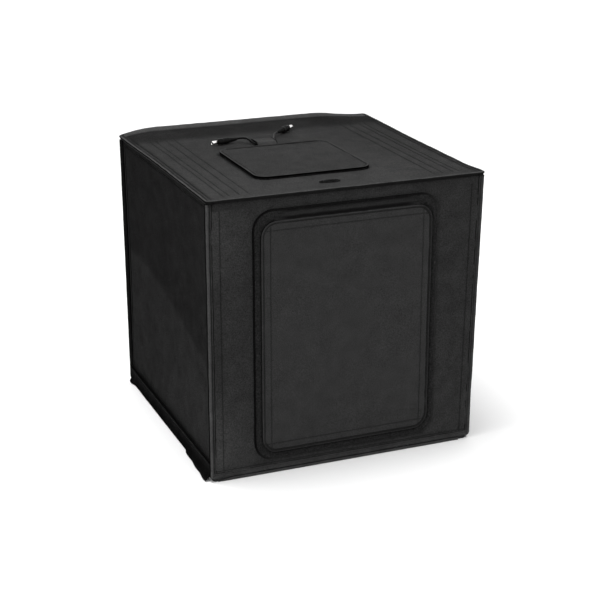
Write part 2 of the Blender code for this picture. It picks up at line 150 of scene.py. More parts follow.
def weave_value(tree, pitch, turn=(0.0, 0.0, 0.0)):
    """A fine over-and-under weave, as the sum of waves along the three axes."""
    mapping = add_node(tree, "ShaderNodeMapping", {"Rotation": turn})
    join(tree, (object_coords(tree), mapping.inputs["Vector"]))
    total = None
    for axis in "XYZ":
        wave = add_node(
            tree, "ShaderNodeTexWave", {"Scale": BAND_PERIOD / pitch, "Distortion": 0.4},
            wave_type="BANDS", bands_direction=axis)
        join(tree, (mapping.outputs["Vector"], wave.inputs["Vector"]))
        if total is None:
            total = wave.outputs["Fac"]
            continue
        add = add_node(tree, "ShaderNodeMath", operation="ADD")
        join(tree, (total, add.inputs[0]), (wave.outputs["Fac"], add.inputs[1]))
        total = add.outputs["Value"]
    return total


def tint(material, value, dark, light, low=0.3, high=0.7):
    """Colour that runs from dark to light with a texture's value; returns its ramp."""
    ramp = material.node_tree.nodes.new("ShaderNodeValToRGB")
    for element, place, colour in zip(ramp.color_ramp.elements, (low, high), (dark, light)):
        element.position = place
        element.color = (*colour, 1.0)
    join(material.node_tree, (value, ramp.inputs["Fac"]),
         (ramp.outputs["Color"], shader_input(material, "Base Color")))
    return ramp


def roughen(material, value, low, high):
    tree = material.node_tree
    spread = add_node(tree, "ShaderNodeMapRange", {"To Min": low, "To Max": high})
    join(tree, (value, spread.inputs["Value"]),
         (spread.outputs["Result"], shader_input(material, "Roughness")))


def emboss(material, layers):
    """Chains bumps of (texture value, height in metres, strength) into the normal."""
    tree = material.node_tree
    normal = None
    for value, height, strength in layers:
        bump = add_node(tree, "ShaderNodeBump", {"Distance": height, "Strength": strength})
        join(tree, (value, bump.inputs["Height"]))
        if normal is not None:
            join(tree, (normal, bump.inputs["Normal"]))
        normal = bump.outputs["Normal"]
    join(tree, (normal, shader_input(material, "Normal")))


def grey(level, warm=0.0):
    return (level * (1.0 + warm), level, level * (1.0 - warm))


def by_tone(material, value, dark, light, grain):
    """Cloth colour: slow unevenness and fine speckle, under the piece's own tone of painted
    light and shade.
    """
    tree = material.node_tree
    ramp = tint(material, value, dark, light)
    speckle = add_node(tree, "ShaderNodeMapRange", {
        "From Min": 0.25, "From Max": 0.75, "To Min": 1.05, "To Max": 2.95})
    own = add_node(tree, "ShaderNodeAttribute", attribute_name="tone")
    share = add_node(tree, "ShaderNodeMath", operation="MULTIPLY")
    scaled = add_node(tree, "ShaderNodeVectorMath", operation="SCALE")
    join(tree, (noise_value(tree, grain, 2.0), speckle.inputs["Value"]),
         (own.outputs["Fac"], share.inputs[0]), (speckle.outputs["Result"], share.inputs[1]),
         (ramp.outputs["Color"], scaled.inputs[0]),
         (share.outputs["Value"], scaled.inputs["Scale"]),
         (scaled.outputs["Vector"], shader_input(material, "Base Color")))


def coated_cloth(name, dark, light, rough, grain, grain_height, specular):
    """Black coated cloth: a pebbled coat over a fine weave, a little uneven all over."""
    material = new_finish(name, rough, specular=specular)
    tree = material.node_tree
    by_tone(material, noise_value(tree, 45.0, 5.0), grey(dark), grey(light), grain * 1.3)
    roughen(material, noise_value(tree, 210.0, 2.0), rough - 0.08, rough + 0.08)
    emboss(material, [
        (noise_value(tree, 24.0, 2.0), 0.0016, 0.30),
        (cell_value(tree, grain), grain_height, 1.0),
        (weave_value(tree, 0.0008), 0.00003, 0.6),
    ])
    return material


def fine_finish(name, rough, grain, dark, light, bump, gloss=None, **more):
    """A finish with one grain of colour, one of relief and, where it is given, one of gloss.

    bump is (scale, height, strength) and gloss is (scale, least and most roughness).
    """
    material = new_finish(name, rough, **more)
    tree = material.node_tree
    tint(material, noise_value(tree, grain), dark, light)
    if gloss:
        scale, low, high = gloss
        roughen(material, noise_value(tree, scale), low, high)
    scale, height, strength = bump
    emboss(material, [(noise_value(tree, scale), height, strength)])
    return material


def loop_pile_finish():
    pile = new_finish("loop_pile", 0.95, specular=0.03)
    tree = pile.node_tree
    by_tone(pile, noise_value(tree, 420.0, 4.0), grey(0.0090), grey(0.0190), 900.0)
    emboss(pile, [
        (noise_value(tree, 900.0, 4.0), 0.0006, 0.9),
        (cell_value(tree, 1300.0), 0.0004, 0.8),
    ])
    return pile


def hook_tape_finish():
    hook = new_finish("hook_tape", 0.62, specular=0.3)
    hooks = cell_value(hook.node_tree, 900.0)
    tint(hook, hooks, grey(0.0060), grey(0.0200), 0.1, 0.6)
    emboss(hook, [(hooks, 0.0005, 1.0)])
    return hook


def silver_finish():
    silver = new_finish("silver_lining", 0.30, metallic=0.85)
    tree = silver.node_tree
    tint(silver, noise_value(tree, 30.0, 6.0), grey(0.60), grey(0.78))
    roughen(silver, noise_value(tree, 70.0, 4.0), 0.22, 0.42)
    emboss(silver, [
        (noise_value(tree, 60.0, 5.0), 0.0035, 0.55),
        (weave_value(tree, 0.0012, (0.0, 0.0, 0.78)), 0.00005, 0.7),
    ])
    return silver


def board_finish():
    board = new_finish("pp_board", 0.48)
    tint(board, noise_value(board.node_tree, 40.0), grey(0.045), grey(0.065))
    emboss(board, [(weave_value(board.node_tree, 0.004), 0.0002, 0.3)])
    return board


def aluminium_finish():
    aluminium = new_finish("bar_aluminium", 0.34, metallic=1.0)
    brushed = noise_value(aluminium.node_tree, 600.0, 4.0, (1.0, 0.02, 1.0))
    tint(aluminium, brushed, grey(0.72), grey(0.86))
    roughen(aluminium, brushed, 0.26, 0.44)
    emboss(aluminium, [(brushed, 0.00004, 0.5)])
    return aluminium


# Each cloth's darkest and lightest grey, roughness, grain, height of its grain and specular.
CLOTHS = {
    "wall": (0.0175, 0.0235, 0.60, 620.0, 0.00055, 0.01),
    # side: the wall's cloth painted darker, for the shade on the side walls.
    "side": (0.0098, 0.0138, 0.66, 620.0, 0.00045, 0.0),
    # roof: the wall's cloth a little lighter, for the light from above.
    "roof": (0.0175, 0.0240, 0.62, 620.0, 0.00055, 0.01),
    "smooth": (0.0225, 0.0275, 0.60, 900.0, 0.00030, 0.01),
    # binding: spreads a little lighter, as a painted highlight along the bound edges.
    "binding": (0.0170, 0.0260, 0.55, 800.0, 0.00030, 0.0),
    "flap": (0.0042, 0.0074, 0.75, 700.0, 0.00020, 0.0),
}


def make_materials():
    finish = {name: coated_cloth(name + "_cloth", *look) for name, look in CLOTHS.items()}
    finish.update(
        pile=loop_pile_finish(), hook=hook_tape_finish(), silver=silver_finish(),
        board=board_finish(), aluminium=aluminium_finish())
    finish["thread"] = fine_finish(
        "black_thread", 0.65, 1500.0, grey(0.0040), grey(0.0110), (2600.0, 0.0002, 0.6),
        specular=0.1)
    finish["diffuser"] = fine_finish(
        "frosted_cover", 0.42, 200.0, grey(0.84, 0.01), grey(0.92, 0.01),
        (1800.0, 0.00005, 0.5))
    shader_input(finish["diffuser"], "Transmission Weight").default_value = 0.25
    finish["led_board"] = fine_finish(
        "led_board", 0.38, 90.0, grey(0.80, 0.01), grey(0.90, 0.01), (700.0, 0.00004, 0.4))
    finish["chip"] = fine_finish(
        "led_chip", 0.25, 300.0, (0.80, 0.62, 0.16), (0.92, 0.80, 0.36), (900.0, 0.00003, 0.4))
    finish["cap"] = fine_finish(
        "cap_plastic", 0.45, 350.0, grey(0.022), grey(0.034), (1600.0, 0.00006, 0.6))
    finish["rubber"] = fine_finish(
        "cord_rubber", 0.46, 260.0, grey(0.0035), grey(0.0060), (1900.0, 0.00005, 0.5),
        gloss=(500.0, 0.30, 0.44), specular=0.04)
    finish["metal"] = fine_finish(
        "plug_metal", 0.16, 180.0, grey(0.86, 0.01), grey(0.96, 0.01), (900.0, 0.00003, 0.4),
        gloss=(400.0, 0.12, 0.24), metallic=1.0)
    return finish


# ---- Panel frames ---------------------------------------------------------------------

AXES = {
    "front": ((1, 0, 0), (0, 0, 1), (0, -1, 0)),
    "back": ((-1, 0, 0), (0, 0, 1), (0, 1, 0)),
    "left": ((0, -1, 0), (0, 0, 1), (-1, 0, 0)),
    "right": ((0, 1, 0), (0, 0, 1), (1, 0, 0)),
    "up": ((1, 0, 0), (0, 1, 0), (0, 0, 1)),
    "down": ((-1, 0, 0), (0, 1, 0), (0, 0, -1)),
}
INSIDE_OF = {"left": "right", "right": "left"}

LEAN_TOP = 0.0048
LEAN_FOOT = 0.0040
LEAN_LEFT = 0.0024
REAR_DROP = 0.0009


def to_world(facing, level, points):
    """Points of (across, along, outwards from the plane at level) in the shared frame."""
    across, along, out = (np.array(axis, float) for axis in AXES[facing])
    points = np.asarray(points, float).reshape(-1, 3)
    return out_of_true(
        points[:, :1] * across + points[:, 1:2] * along + (points[:, 2:3] + level) * out)


def out_of_true(points):
    """The small lean that the soft shell takes at its right and rear edges."""
    x, y, z = points.T
    high = np.clip(z / 0.4, 0.0, 1.0)
    right = smooth_step(x, 0.140, 0.200)
    left = smooth_step(-x, 0.140, 0.200)
    front = smooth_step(-y, 0.150, 0.195)
    rear = smooth_step(y, 0.000, 0.200)
    shift = right * front * (LEAN_TOP * high - LEAN_FOOT * (1.0 - high))
    shift += right * rear * LEAN_TOP * high - left * rear * LEAN_LEFT * high
    drop = (left + right) * rear * REAR_DROP * high
    return np.column_stack([x + shift, y, z - drop])


def add_mesh(name, points, faces, material, tones=None):
    """A smooth mesh whose points carry tone, the share of painted light and shade that lightens
    or darkens its cloth.
    """
    mesh = bpy.data.meshes.new(name)
    mesh.from_pydata([tuple(point) for point in points], [], faces)
    mesh.materials.append(material)
    mesh.shade_smooth()
    tone = mesh.attributes.new("tone", "FLOAT", "POINT")
    tone.data.foreach_set("value", np.broadcast_to(
        np.asarray(0.5 if tones is None else tones, np.float32), (len(points),)).copy())
    piece = bpy.data.objects.new(name, mesh)
    bpy.context.scene.collection.objects.link(piece)
    return piece


def face_outwards(piece):
    cage = bmesh.new()
    cage.from_mesh(piece.data)
    bmesh.ops.remove_doubles(cage, verts=cage.verts, dist=0.000005)
    bmesh.ops.recalc_face_normals(cage, faces=cage.faces)
    cage.to_mesh(piece.data)
    cage.free()
    return piece


def baked(piece):
    """Applies a piece's modifiers and leaves a plain mesh."""
    shape = piece.evaluated_get(bpy.context.evaluated_depsgraph_get())
    mesh = bpy.data.meshes.new_from_object(shape)
    piece.modifiers.clear()
    old = piece.data
    piece.data = mesh
    mesh.name = piece.name
    if isinstance(old, bpy.types.Mesh):
        bpy.data.meshes.remove(old)
    return piece


def thicken(piece, thickness, offset=-1.0):
    solid = piece.modifiers.new("thickness", "SOLIDIFY")
    solid.thickness = thickness
    solid.offset = offset
    return baked(piece)


def thicken_both_ways(piece, thickness):
    return face_outwards(thicken(piece, thickness, 0.0))


def row_faces(rows, width, around=False, looped=False):
    """Faces between equal rows of points. around closes each row, looped the whole run."""
    faces = []
    for i in range(rows if looped else rows - 1):
        n = (i + 1) % rows
        for k in range(width if around else width - 1):
            m = (k + 1) % width
            faces.append((i * width + k, n * width + k, n * width + m, i * width + m))
    return faces


def end_faces(rows, width):
    return [tuple(range(width)), tuple((rows - 1) * width + k for k in range(width))]


# ---- Cloth over a board ---------------------------------------------------------------

SEAM_HALF = 0.0015
SEAM_SINK = 0.0006


def lines_between(stops, cell):
    """Grid lines through each stop, about a cell apart between them."""
    lines = [stops[0]]
    for low, high in zip(stops, stops[1:]):
        count = max(round((high - low) / cell), 1)
        lines += [low + (high - low) * step / count for step in range(1, count + 1)]
    return np.array(lines)


def round_grid_corners(us, vs, grid, radius):
    """Pulls a grid's four corners in to arcs."""
    for sign_u, edge_u in ((-1, us[0]), (1, us[-1])):
        for sign_v, edge_v in ((-1, vs[0]), (1, vs[-1])):
            centre = np.array((edge_u - sign_u * radius, edge_v - sign_v * radius))
            reach = (grid[:, :, :2] - centre) * (sign_u, sign_v) / radius
            inside = (reach > 1e-9).all(axis=2)
            p = reach[inside]
            longest = p.max(axis=1)
            shrink = longest / np.linalg.norm(p, axis=1)
            p = p * (1.0 + (shrink - 1.0) * longest ** 2)[:, None]
            grid[inside, :2] = centre + p * radius * (sign_u, sign_v)


def smooth_step(value, low, high):
    t = np.clip((value - low) / (high - low), 0.0, 1.0)
    return t * t * (3.0 - 2.0 * t)


def soft_noise(us, vs, size, seed):
    """Smooth noise from -1 to 1 with features of about a size, in metres."""
    return np.array([
        noise.noise(Vector((u / size + seed * 7.13, v / size - seed * 3.71, seed * 1.37)))
        for u, v in zip(us, vs)
    ])


def rumple(box, seed, broad=0.0003, edge=0.00035, reach=0.016):
    """Relief of cloth drawn over a board: broad unevenness, and puckers along its seams."""
    low_u, high_u, low_v, high_v = box

    def relief(us, vs):
        side = np.minimum(us - low_u, high_u - us)
        end = np.minimum(vs - low_v, high_v - vs)
        wide = soft_noise(us, vs, 0.070, seed) + 0.5 * soft_noise(us, vs, 0.028, seed + 1)
        side_ripple = soft_noise(us * 0.35, vs, 0.011, seed + 2)
        end_ripple = soft_noise(us, vs * 0.35, 0.011, seed + 3)
        near_side = np.exp(-np.maximum(side, 0.0) / reach)
        near_end = np.exp(-np.maximum(end, 0.0) / reach)
        return broad * wide + edge * (side_ripple * near_side + end_ripple * near_end)

    return relief


def skirt_steps(depth, turn, taper):
    """Offsets (outwards, inwards) round a panel's edge: over and down."""
    arc = [math.radians(18.0 * step) for step in range(1, 6)]
    steps = [(turn * math.sin(a), -turn * (1.0 - math.cos(a))) for a in arc]
    steps += [(turn - taper * 0.5, -(turn + depth) / 2), (turn - taper, -depth)]
    return steps


def grid_stops(low, high, turn, corner, holes, seams):
    """Where a panel's grid has to have a line: near its edges, at holes and at seams."""
    stops = [low + turn, high - turn]
    for inset in (max(corner, 0.003), 0.010):
        stops += [low + inset, high - inset]
    for edges in holes:
        stops += list(edges)
    for place in seams:
        stops += [place + SEAM_HALF * share for share in (-1.0, -0.5, 0.0, 0.5, 1.0)]
    stops = sorted(stops)
    kept = [stops[0]]
    for stop in stops[1:]:
        if stop - kept[-1] > 0.0002:
            kept.append(stop)
    return kept


def seam_strength(points, seams_u, seams_v, span):
    """From 0 to 1 how close each point is to a sewn line; span limits lines along v."""
    strength = np.zeros(len(points))
    for axis, seams in ((0, seams_u), (1, seams_v)):
        for place in seams:
            near = np.exp(-((points[:, axis] - place) / (SEAM_HALF * 0.6)) ** 2)
            if axis == 0 and span:
                near *= smooth_step(points[:, 1], span[0] - 0.01, span[0])
                near *= 1.0 - smooth_step(points[:, 1], span[1], span[1] + 0.02)
            strength = np.maximum(strength, near)
    return strength


def grid_faces(us, vs, holes):
    """A face for every cell of a grid whose middle is in none of the holes."""
    step = len(vs)
    faces = []
    for i in range(len(us) - 1):
        for j in range(step - 1):
            middle_u = (us[i] + us[i + 1]) / 2
            middle_v = (vs[j] + vs[j + 1]) / 2
            if not any(h[0] < middle_u < h[1] and h[2] < middle_v < h[3] for h in holes):
                first = i * step + j
                faces.append((first, first + step, first + step + 1, first + 1))
    return faces


def grid_rim(count_u, count_v):
    """The numbers of a grid's outermost points, in order round it."""
    rim = [i * count_v for i in range(count_u - 1)]
    rim += [(count_u - 1) * count_v + j for j in range(count_v - 1)]
    rim += [i * count_v + count_v - 1 for i in range(count_u - 1, 0, -1)]
    rim += list(range(count_v - 1, 0, -1))
    return rim


def add_skirt(points, faces, rim, steps):
    """Adds rings of points and faces outwards and down from a panel's rim."""
    loop = np.array([points[index] for index in rim])
    along = np.roll(loop, -1, axis=0) - np.roll(loop, 1, axis=0)
    normal = np.stack([along[:, 1], -along[:, 0]], axis=1)
    normal /= np.linalg.norm(normal, axis=1)[:, None]
    last = rim
    for outwards, inwards in steps:
        start = len(points)
        for base, away in zip(loop, normal):
            points.append(
                (base[0] + away[0] * outwards, base[1] + away[1] * outwards, inwards))
        new = list(range(start, start + len(rim)))
        for k in range(len(rim)):
            n = (k + 1) % len(rim)
            faces.append((last[k], new[k], new[n], last[n]))
        last = new


def cloth_panel(name, facing, box, level, depth, material, cell=0.0045, turn=0.0016,
                taper=0.0, corner=0.004, holes=(), seams_u=(), seams_v=(), span=None,
                relief=None, bend=None, tone=None, seam_dark=0.42, edge_tone=1.0,
                thickness=0.0005):
    """Cloth drawn over a board, and round its edges where depth is given, open behind.

    box is (low across, high across, low along, high along), and each hole is such a box.
    relief lifts the face and bend moves the whole panel outwards, both from (us, vs), and
    tone(us, vs) lightens or darkens it. taper draws the foot of its edge inwards.
    """
    if not depth:
        turn = 0.0
    low_u, high_u, low_v, high_v = box
    us = lines_between(
        grid_stops(low_u, high_u, turn, corner, [hole[:2] for hole in holes], seams_u), cell)
    vs = lines_between(
        grid_stops(low_v, high_v, turn, corner, [hole[2:] for hole in holes], seams_v), cell)
    grid = np.zeros((len(us), len(vs), 3))
    grid[:, :, 0] = us[:, None]
    grid[:, :, 1] = vs[None, :]
    round_grid_corners(us, vs, grid, max(corner - turn, 0.0008))
    face = grid.reshape(-1, 3)
    face[:, 2] -= SEAM_SINK * seam_strength(face, seams_u, seams_v, span)
    points = [tuple(p) for p in face]
    count_u, count_v = len(us), len(vs)

    faces = grid_faces(us, vs, holes)
    if depth:
        add_skirt(points, faces, grid_rim(count_u, count_v), skirt_steps(depth, turn, taper))
    points = np.array(points)
    used = np.zeros(len(points), bool)
    used[[index for face in faces for index in face]] = True
    us_all, vs_all = points[:, 0].copy(), points[:, 1].copy()
    # Painted shade along the sewn lines, as if in their grooves.
    tones = 0.5 - seam_dark * seam_strength(points, seams_u, seams_v, span)
    # Painted shade down the skirt, the cloth running round the panel's edge.
    tones[count_u * count_v:] *= edge_tone
    if tone is not None:
        tones = tones * tone(us_all, vs_all)
    if relief is not None:
        share = np.clip((points[:, 2] + depth) / depth, 0.0, 1.0) if depth else 1.0
        points[:, 2] += relief(us_all, vs_all) * share
    if bend is not None:
        points[:, 2] += bend(us_all, vs_all)
    renumber = np.cumsum(used) - 1
    faces = [tuple(int(renumber[index]) for index in face) for face in faces]
    piece = add_mesh(name, to_world(facing, level, points[used]), faces, material, tones[used])
    return thicken(piece, thickness)


# ---- Strips along an outline ----------------------------------------------------------

CORNER_STEPS = 7


def corner_arc(centre, radius, start, turn):
    """Points and outward directions round a corner, from one angle through a turn."""
    arc = []
    for index in range(CORNER_STEPS + 1):
        angle = math.radians(start + turn * index / CORNER_STEPS)
        away = np.array((math.cos(angle), math.sin(angle)))
        arc.append((centre + away * radius, away))
    return arc


def rounded_loop(box, radius, step=0.004):
    """Points and outward directions round a rectangle with round corners, in order."""
    low_u, high_u, low_v, high_v = box
    corners = (
        (high_u, high_v, 1, 1, 0.0), (low_u, high_v, -1, 1, 90.0),
        (low_u, low_v, -1, -1, 180.0), (high_u, low_v, 1, -1, 270.0),
    )
    arcs = []
    for u, v, sign_u, sign_v, start in corners:
        centre = np.array((u - sign_u * radius, v - sign_v * radius))
        arcs.append(corner_arc(centre, radius, start, 90.0))
    loop = []
    for index, arc in enumerate(arcs):
        loop += arc
        end, away = arc[-1]
        start = arcs[(index + 1) % 4][0][0]
        count = max(int(np.linalg.norm(start - end) / step), 1)
        loop += [(end + (start - end) * k / count, away) for k in range(1, count)]
    return loop


def sweep_strip(name, facing, level, loop, profile, material, closed=True, shape=None,
                shade=None):
    """Runs a closed profile of (outwards in the plane, height above it, tone) round a loop.

    shape(u, v, height, away) can change a point, and shade(away, tone) its tone.
    """
    tones = []
    points = []
    for spot, away in loop:
        for out, height, tone in profile:
            tones.append(shade(away, tone) if shade else tone)
            u, v = spot + away * out
            points.append(shape(u, v, height, away) if shape else (u, v, height))
    rows, width = len(loop), len(profile)
    faces = row_faces(rows, width, around=True, looped=closed)
    if not closed:
        faces += end_faces(rows, width)
    piece = add_mesh(name, to_world(facing, level, points), faces, material, tones)
    return face_outwards(piece)


# Tones down a binding's rounded edge: a painted highlight where it turns over, then painted
# shade underneath.
EDGE_LIGHT_SHADE = (1.05, 0.55, 0.10, 0.05, 0.05, 0.05, 0.05, 0.10)


def binding_profile(width, depth, bulge, thick=0.0005, light=1.0, groove=0.10,
                    edge_tones=EDGE_LIGHT_SHADE):
    """A tape folded over a panel's edge and sewn through, as a closed outline.

    Its face has a round outer ridge, the sewn valley and a slim inner ridge; its tones paint
    highlights on the ridges and shade in the valley and under the edge.
    """
    face = [
        (-width * 1.10, 0.0001, groove * 2.0), (-width, 0.0001, groove),
        (-width * 0.94, thick * 0.8, 0.40), (-width * 0.84, thick * 1.3, 0.62),
        (-width * 0.74, thick * 1.0, 0.45), (-width * 0.64, thick * 0.2, groove * 1.3),
        (-width * 0.54, thick * 0.9, 0.45), (-width * 0.40, thick * 1.6, 0.80),
        (-width * 0.22, thick * 1.9, 1.10), (-width * 0.08, thick * 1.6, 1.15),
    ]
    middle = -depth / 2
    half = depth / 2 + thick
    edge = []
    for step, tone in zip(range(1, 9), edge_tones):
        angle = math.radians(90.0 - 20.0 * step)
        edge.append((bulge * math.cos(angle), middle + half * math.sin(angle), tone))
    under = [(-width * 0.08, -depth - thick * 0.4, 0.3), (-width, -depth - thick * 0.2, 0.3)]
    inner = [(-width, -depth + 0.0001, 0.3), (-0.0006, -depth + 0.0002, 0.3),
             (-0.0006, -0.0002, 0.3)]
    whole = face + edge + under + inner
    return [(out, height, tone * light) for out, height, tone in whole]


def u_loop(box, radius, step=0.004):
    """Points and outward directions down a panel's right side, along its foot and up."""
    low_u, high_u, low_v, high_v = box
    count = int((high_v - low_v - radius) / step)
    down = np.linspace(high_v, low_v + radius, count)
    loop = [(np.array((high_u, v)), np.array((1.0, 0.0))) for v in down]
    for centre_u, start in ((high_u - radius, 0.0), (low_u + radius, -90.0)):
        centre = np.array((centre_u, low_v + radius))
        loop += corner_arc(centre, radius, start, -90.0)[1:]
        if start == 0.0:
            along = np.linspace(high_u - radius, low_u + radius, int((high_u - low_u) / step))
            loop += [(np.array((u, low_v)), np.array((0.0, -1.0))) for u in along[1:]]
    loop += [(np.array((low_u, v)), np.array((-1.0, 0.0))) for v in down[::-1][1:]]
    return loop


def loose_edge(seed, wave=0.00025, lift=0.00015, bend=None, swell=None, depth=0.005):
    """A binding's small unevenness, and the bend or swell of the panel that it is on."""
    def shape(u, v, height, away):
        here = Vector((u * 45.0, v * 45.0, seed * 3.1))
        push = noise.noise(here) * wave + noise.noise(here * 4.0) * wave * 0.5
        u += away[0] * push
        v += away[1] * push
        over = min(max((height + depth) / depth, 0.0), 1.0)
        height += noise.noise(here * 2.3) * lift * over
        if swell is not None:
            height += float(swell(np.array([u]), np.array([v]))[0]) * over
        if bend is not None:
            height += float(bend(np.array([u]), np.array([v]))[0])
        return u, v, height

    return shape


def tape_profile(half_width, thick, tone=0.5):
    """A flat tape with soft edges, lying on the plane."""
    return [
        (-half_width, 0.0, tone * 0.5), (-half_width, thick * 0.55, tone * 0.7),
        (-half_width + thick * 0.7, thick, tone), (half_width - thick * 0.7, thick, tone),
        (half_width, thick * 0.55, tone * 0.7), (half_width, 0.0, tone * 0.5),
    ]


# ---- Stitches -------------------------------------------------------------------------

STITCH_SIZES = {"Pitch": 0.0036, "Length": 0.0027, "Thickness": 0.0006}
PILE_SIZES = (("Density", "NodeSocketFloat", 40000.0), ("Height", "NodeSocketFloat", 0.0011),
              ("Seed", "NodeSocketInt", 1), ("Way", "NodeSocketVector", (0.0, 0.0, 1.0)))


def new_tree(name, shape_in, numbers, shape_out):
    """A Geometry Nodes tree with a shape in, numbers (label, kind, value) and a shape out."""
    tree = bpy.data.node_groups.new(name, "GeometryNodeTree")
    face = tree.interface
    face.new_socket(shape_in, in_out="INPUT", socket_type="NodeSocketGeometry")
    sizes = {}
    for label, kind, value in numbers:
        socket = face.new_socket(label, in_out="INPUT", socket_type=kind)
        socket.default_value = value
        sizes[label] = socket.identifier
    face.new_socket(shape_out, in_out="OUTPUT", socket_type="NodeSocketGeometry")
    return tree, sizes


def repeat_shape(tree, shape_out, material, **sources):
    """Sets a shape at every point, and ends the tree with real, smooth, finished meshes."""
    repeat = tree.nodes.new("GeometryNodeInstanceOnPoints")
    real = tree.nodes.new("GeometryNodeRealizeInstances")
    smooth = tree.nodes.new("GeometryNodeSetShadeSmooth")
    finish = add_node(tree, "GeometryNodeSetMaterial", {"Material": material})
    leave = tree.nodes.new("NodeGroupOutput")
    for label, source in sources.items():
        join(tree, (source, repeat.inputs[label]))
    join(tree, (repeat.outputs["Instances"], real.inputs["Geometry"]),
         (real.outputs["Geometry"], smooth.inputs["Geometry"]),
         (smooth.outputs["Geometry"], finish.inputs["Geometry"]),
         (finish.outputs["Geometry"], leave.inputs[shape_out]))


def path_tree(name, material, shape):
    """Sets small shapes along polylines whose points carry an outward direction."""
    numbers = [(label, "NodeSocketFloat", size) for label, size in STITCH_SIZES.items()]
    tree, sizes = new_tree(name, "Paths", numbers, "Rows")
    entry = tree.nodes.new("NodeGroupInput")
    to_curve = tree.nodes.new("GeometryNodeMeshToCurve")
    spread = add_node(tree, "GeometryNodeResampleCurve", mode="LENGTH")
    out_way = add_node(tree, "GeometryNodeInputNamedAttribute", {"Name": "out"},
                       data_type="FLOAT_VECTOR")
    tangent = tree.nodes.new("GeometryNodeInputTangent")
    upright = add_node(tree, "FunctionNodeAlignRotationToVector", axis="Z")
    turned_to = add_node(tree, "FunctionNodeAlignRotationToVector", axis="X", pivot_axis="Z")
    if shape == "thread":
        single = add_node(tree, "GeometryNodeMeshUVSphere",
                          {"Segments": 6, "Rings": 5, "Radius": 0.5})
    else:
        single = add_node(tree, "GeometryNodeMeshCylinder",
                          {"Vertices": 8, "Radius": 0.5, "Depth": 0.5})
    sized = tree.nodes.new("ShaderNodeCombineXYZ")
    scaled = tree.nodes.new("GeometryNodeTransform")
    join(tree, (entry.outputs["Paths"], to_curve.inputs["Mesh"]),
         (to_curve.outputs["Curve"], spread.inputs["Curve"]),
         (entry.outputs["Pitch"], spread.inputs["Length"]),
         (out_way.outputs["Attribute"], upright.inputs["Vector"]),
         (upright.outputs["Rotation"], turned_to.inputs["Rotation"]),
         (tangent.outputs["Tangent"], turned_to.inputs["Vector"]),
         (entry.outputs["Length"], sized.inputs["X"]),
         (entry.outputs["Thickness"], sized.inputs["Y"]),
         (entry.outputs["Thickness"], sized.inputs["Z"]),
         (single.outputs["Mesh"], scaled.inputs["Geometry"]),
         (sized.outputs["Vector"], scaled.inputs["Scale"]))
    repeat_shape(tree, "Rows", material, Points=spread.outputs["Curve"],
                 Instance=scaled.outputs["Geometry"], Rotation=turned_to.outputs["Rotation"])
    return tree, sizes


def pile_tree(material):
    """Scatters short bent tufts over the faces of a tape that turn the given way."""
    tree, sizes = new_tree("loop_tufts", "Tape", PILE_SIZES, "Tufts")
    entry = tree.nodes.new("NodeGroupInput")
    normal = tree.nodes.new("GeometryNodeInputNormal")
    facing = add_node(tree, "ShaderNodeVectorMath", operation="DOT_PRODUCT")
    outside = add_node(tree, "FunctionNodeCompare", {"B": 0.7})
    scatter = tree.nodes.new("GeometryNodeDistributePointsOnFaces")
    tuft = add_node(tree, "GeometryNodeMeshCone", {
        "Vertices": 4, "Radius Top": 0.28, "Radius Bottom": 0.42, "Depth": 1.0})
    lean = add_node(tree, "FunctionNodeRandomValue", {
        "Min": (-0.9, -0.9, 0.0), "Max": (0.9, 0.9, 6.28)}, data_type="FLOAT_VECTOR")
    euler = tree.nodes.new("FunctionNodeEulerToRotation")
    turn = add_node(tree, "FunctionNodeRotateRotation", rotation_space="LOCAL")
    grown = add_node(tree, "FunctionNodeRandomValue", {2: 0.6, 3: 1.25}, data_type="FLOAT")
    size = add_node(tree, "ShaderNodeMath", operation="MULTIPLY")
    join(tree, (normal.outputs["Normal"], facing.inputs[0]),
         (entry.outputs["Way"], facing.inputs[1]),
         (facing.outputs["Value"], outside.inputs["A"]),
         (outside.outputs["Result"], scatter.inputs["Selection"]),
         (entry.outputs["Tape"], scatter.inputs["Mesh"]),
         (entry.outputs["Density"], scatter.inputs["Density"]),
         (entry.outputs["Seed"], scatter.inputs["Seed"]),
         (scatter.outputs["Rotation"], turn.inputs["Rotation"]),
         (lean.outputs["Value"], euler.inputs["Euler"]),
         (euler.outputs["Rotation"], turn.inputs["Rotate By"]),
         (grown.outputs[1], size.inputs[0]), (entry.outputs["Height"], size.inputs[1]))
    repeat_shape(tree, "Tufts", material, Points=scatter.outputs["Points"],
                 Instance=tuft.outputs["Mesh"], Rotation=turn.outputs["Rotation"],
                 Scale=size.outputs["Value"])
    return tree, sizes


def run_tree(piece, tree, sizes, values):
    """Runs a tree on a new piece with its numbers set, and leaves a plain mesh."""
    bpy.context.scene.collection.objects.link(piece)
    nodes = piece.modifiers.new("rows", "NODES")
    nodes.node_group = tree
    for label, value in values.items():
        nodes[sizes[label]] = value
    return baked(piece)


def grow_pile(name, tape, facing, density, seed, height=0.0011):
    """Loop pile over a tape's outer face, as a mesh of its own."""
    way = tuple(float(part) for part in AXES[facing][2])
    return run_tree(bpy.data.objects.new(name, tape.data.copy()), *PILE, {
        "Density": density, "Height": height, "Seed": seed, "Way": way})


def stitch(name, runs, pitch=0.0036, length=0.0027, thickness=0.0006, tree=None):
    """runs are (points in the shared frame, outward direction); returns one piece."""
    tree, sizes = tree or STITCHING
    points, edges, outs = [], [], []
    for run, out in runs:
        start = len(points)
        points += [tuple(p) for p in run]
        outs += [tuple(out)] * len(run)
        edges += [(start + k, start + k + 1) for k in range(len(run) - 1)]
    mesh = bpy.data.meshes.new(name)
    mesh.from_pydata(points, edges, [])
    away = mesh.attributes.new("out", "FLOAT_VECTOR", "POINT")
    away.data.foreach_set("vector", np.array(outs, float).ravel())
    return run_tree(bpy.data.objects.new(name, mesh), tree, sizes, {
        "Pitch": pitch, "Length": length, "Thickness": thickness})


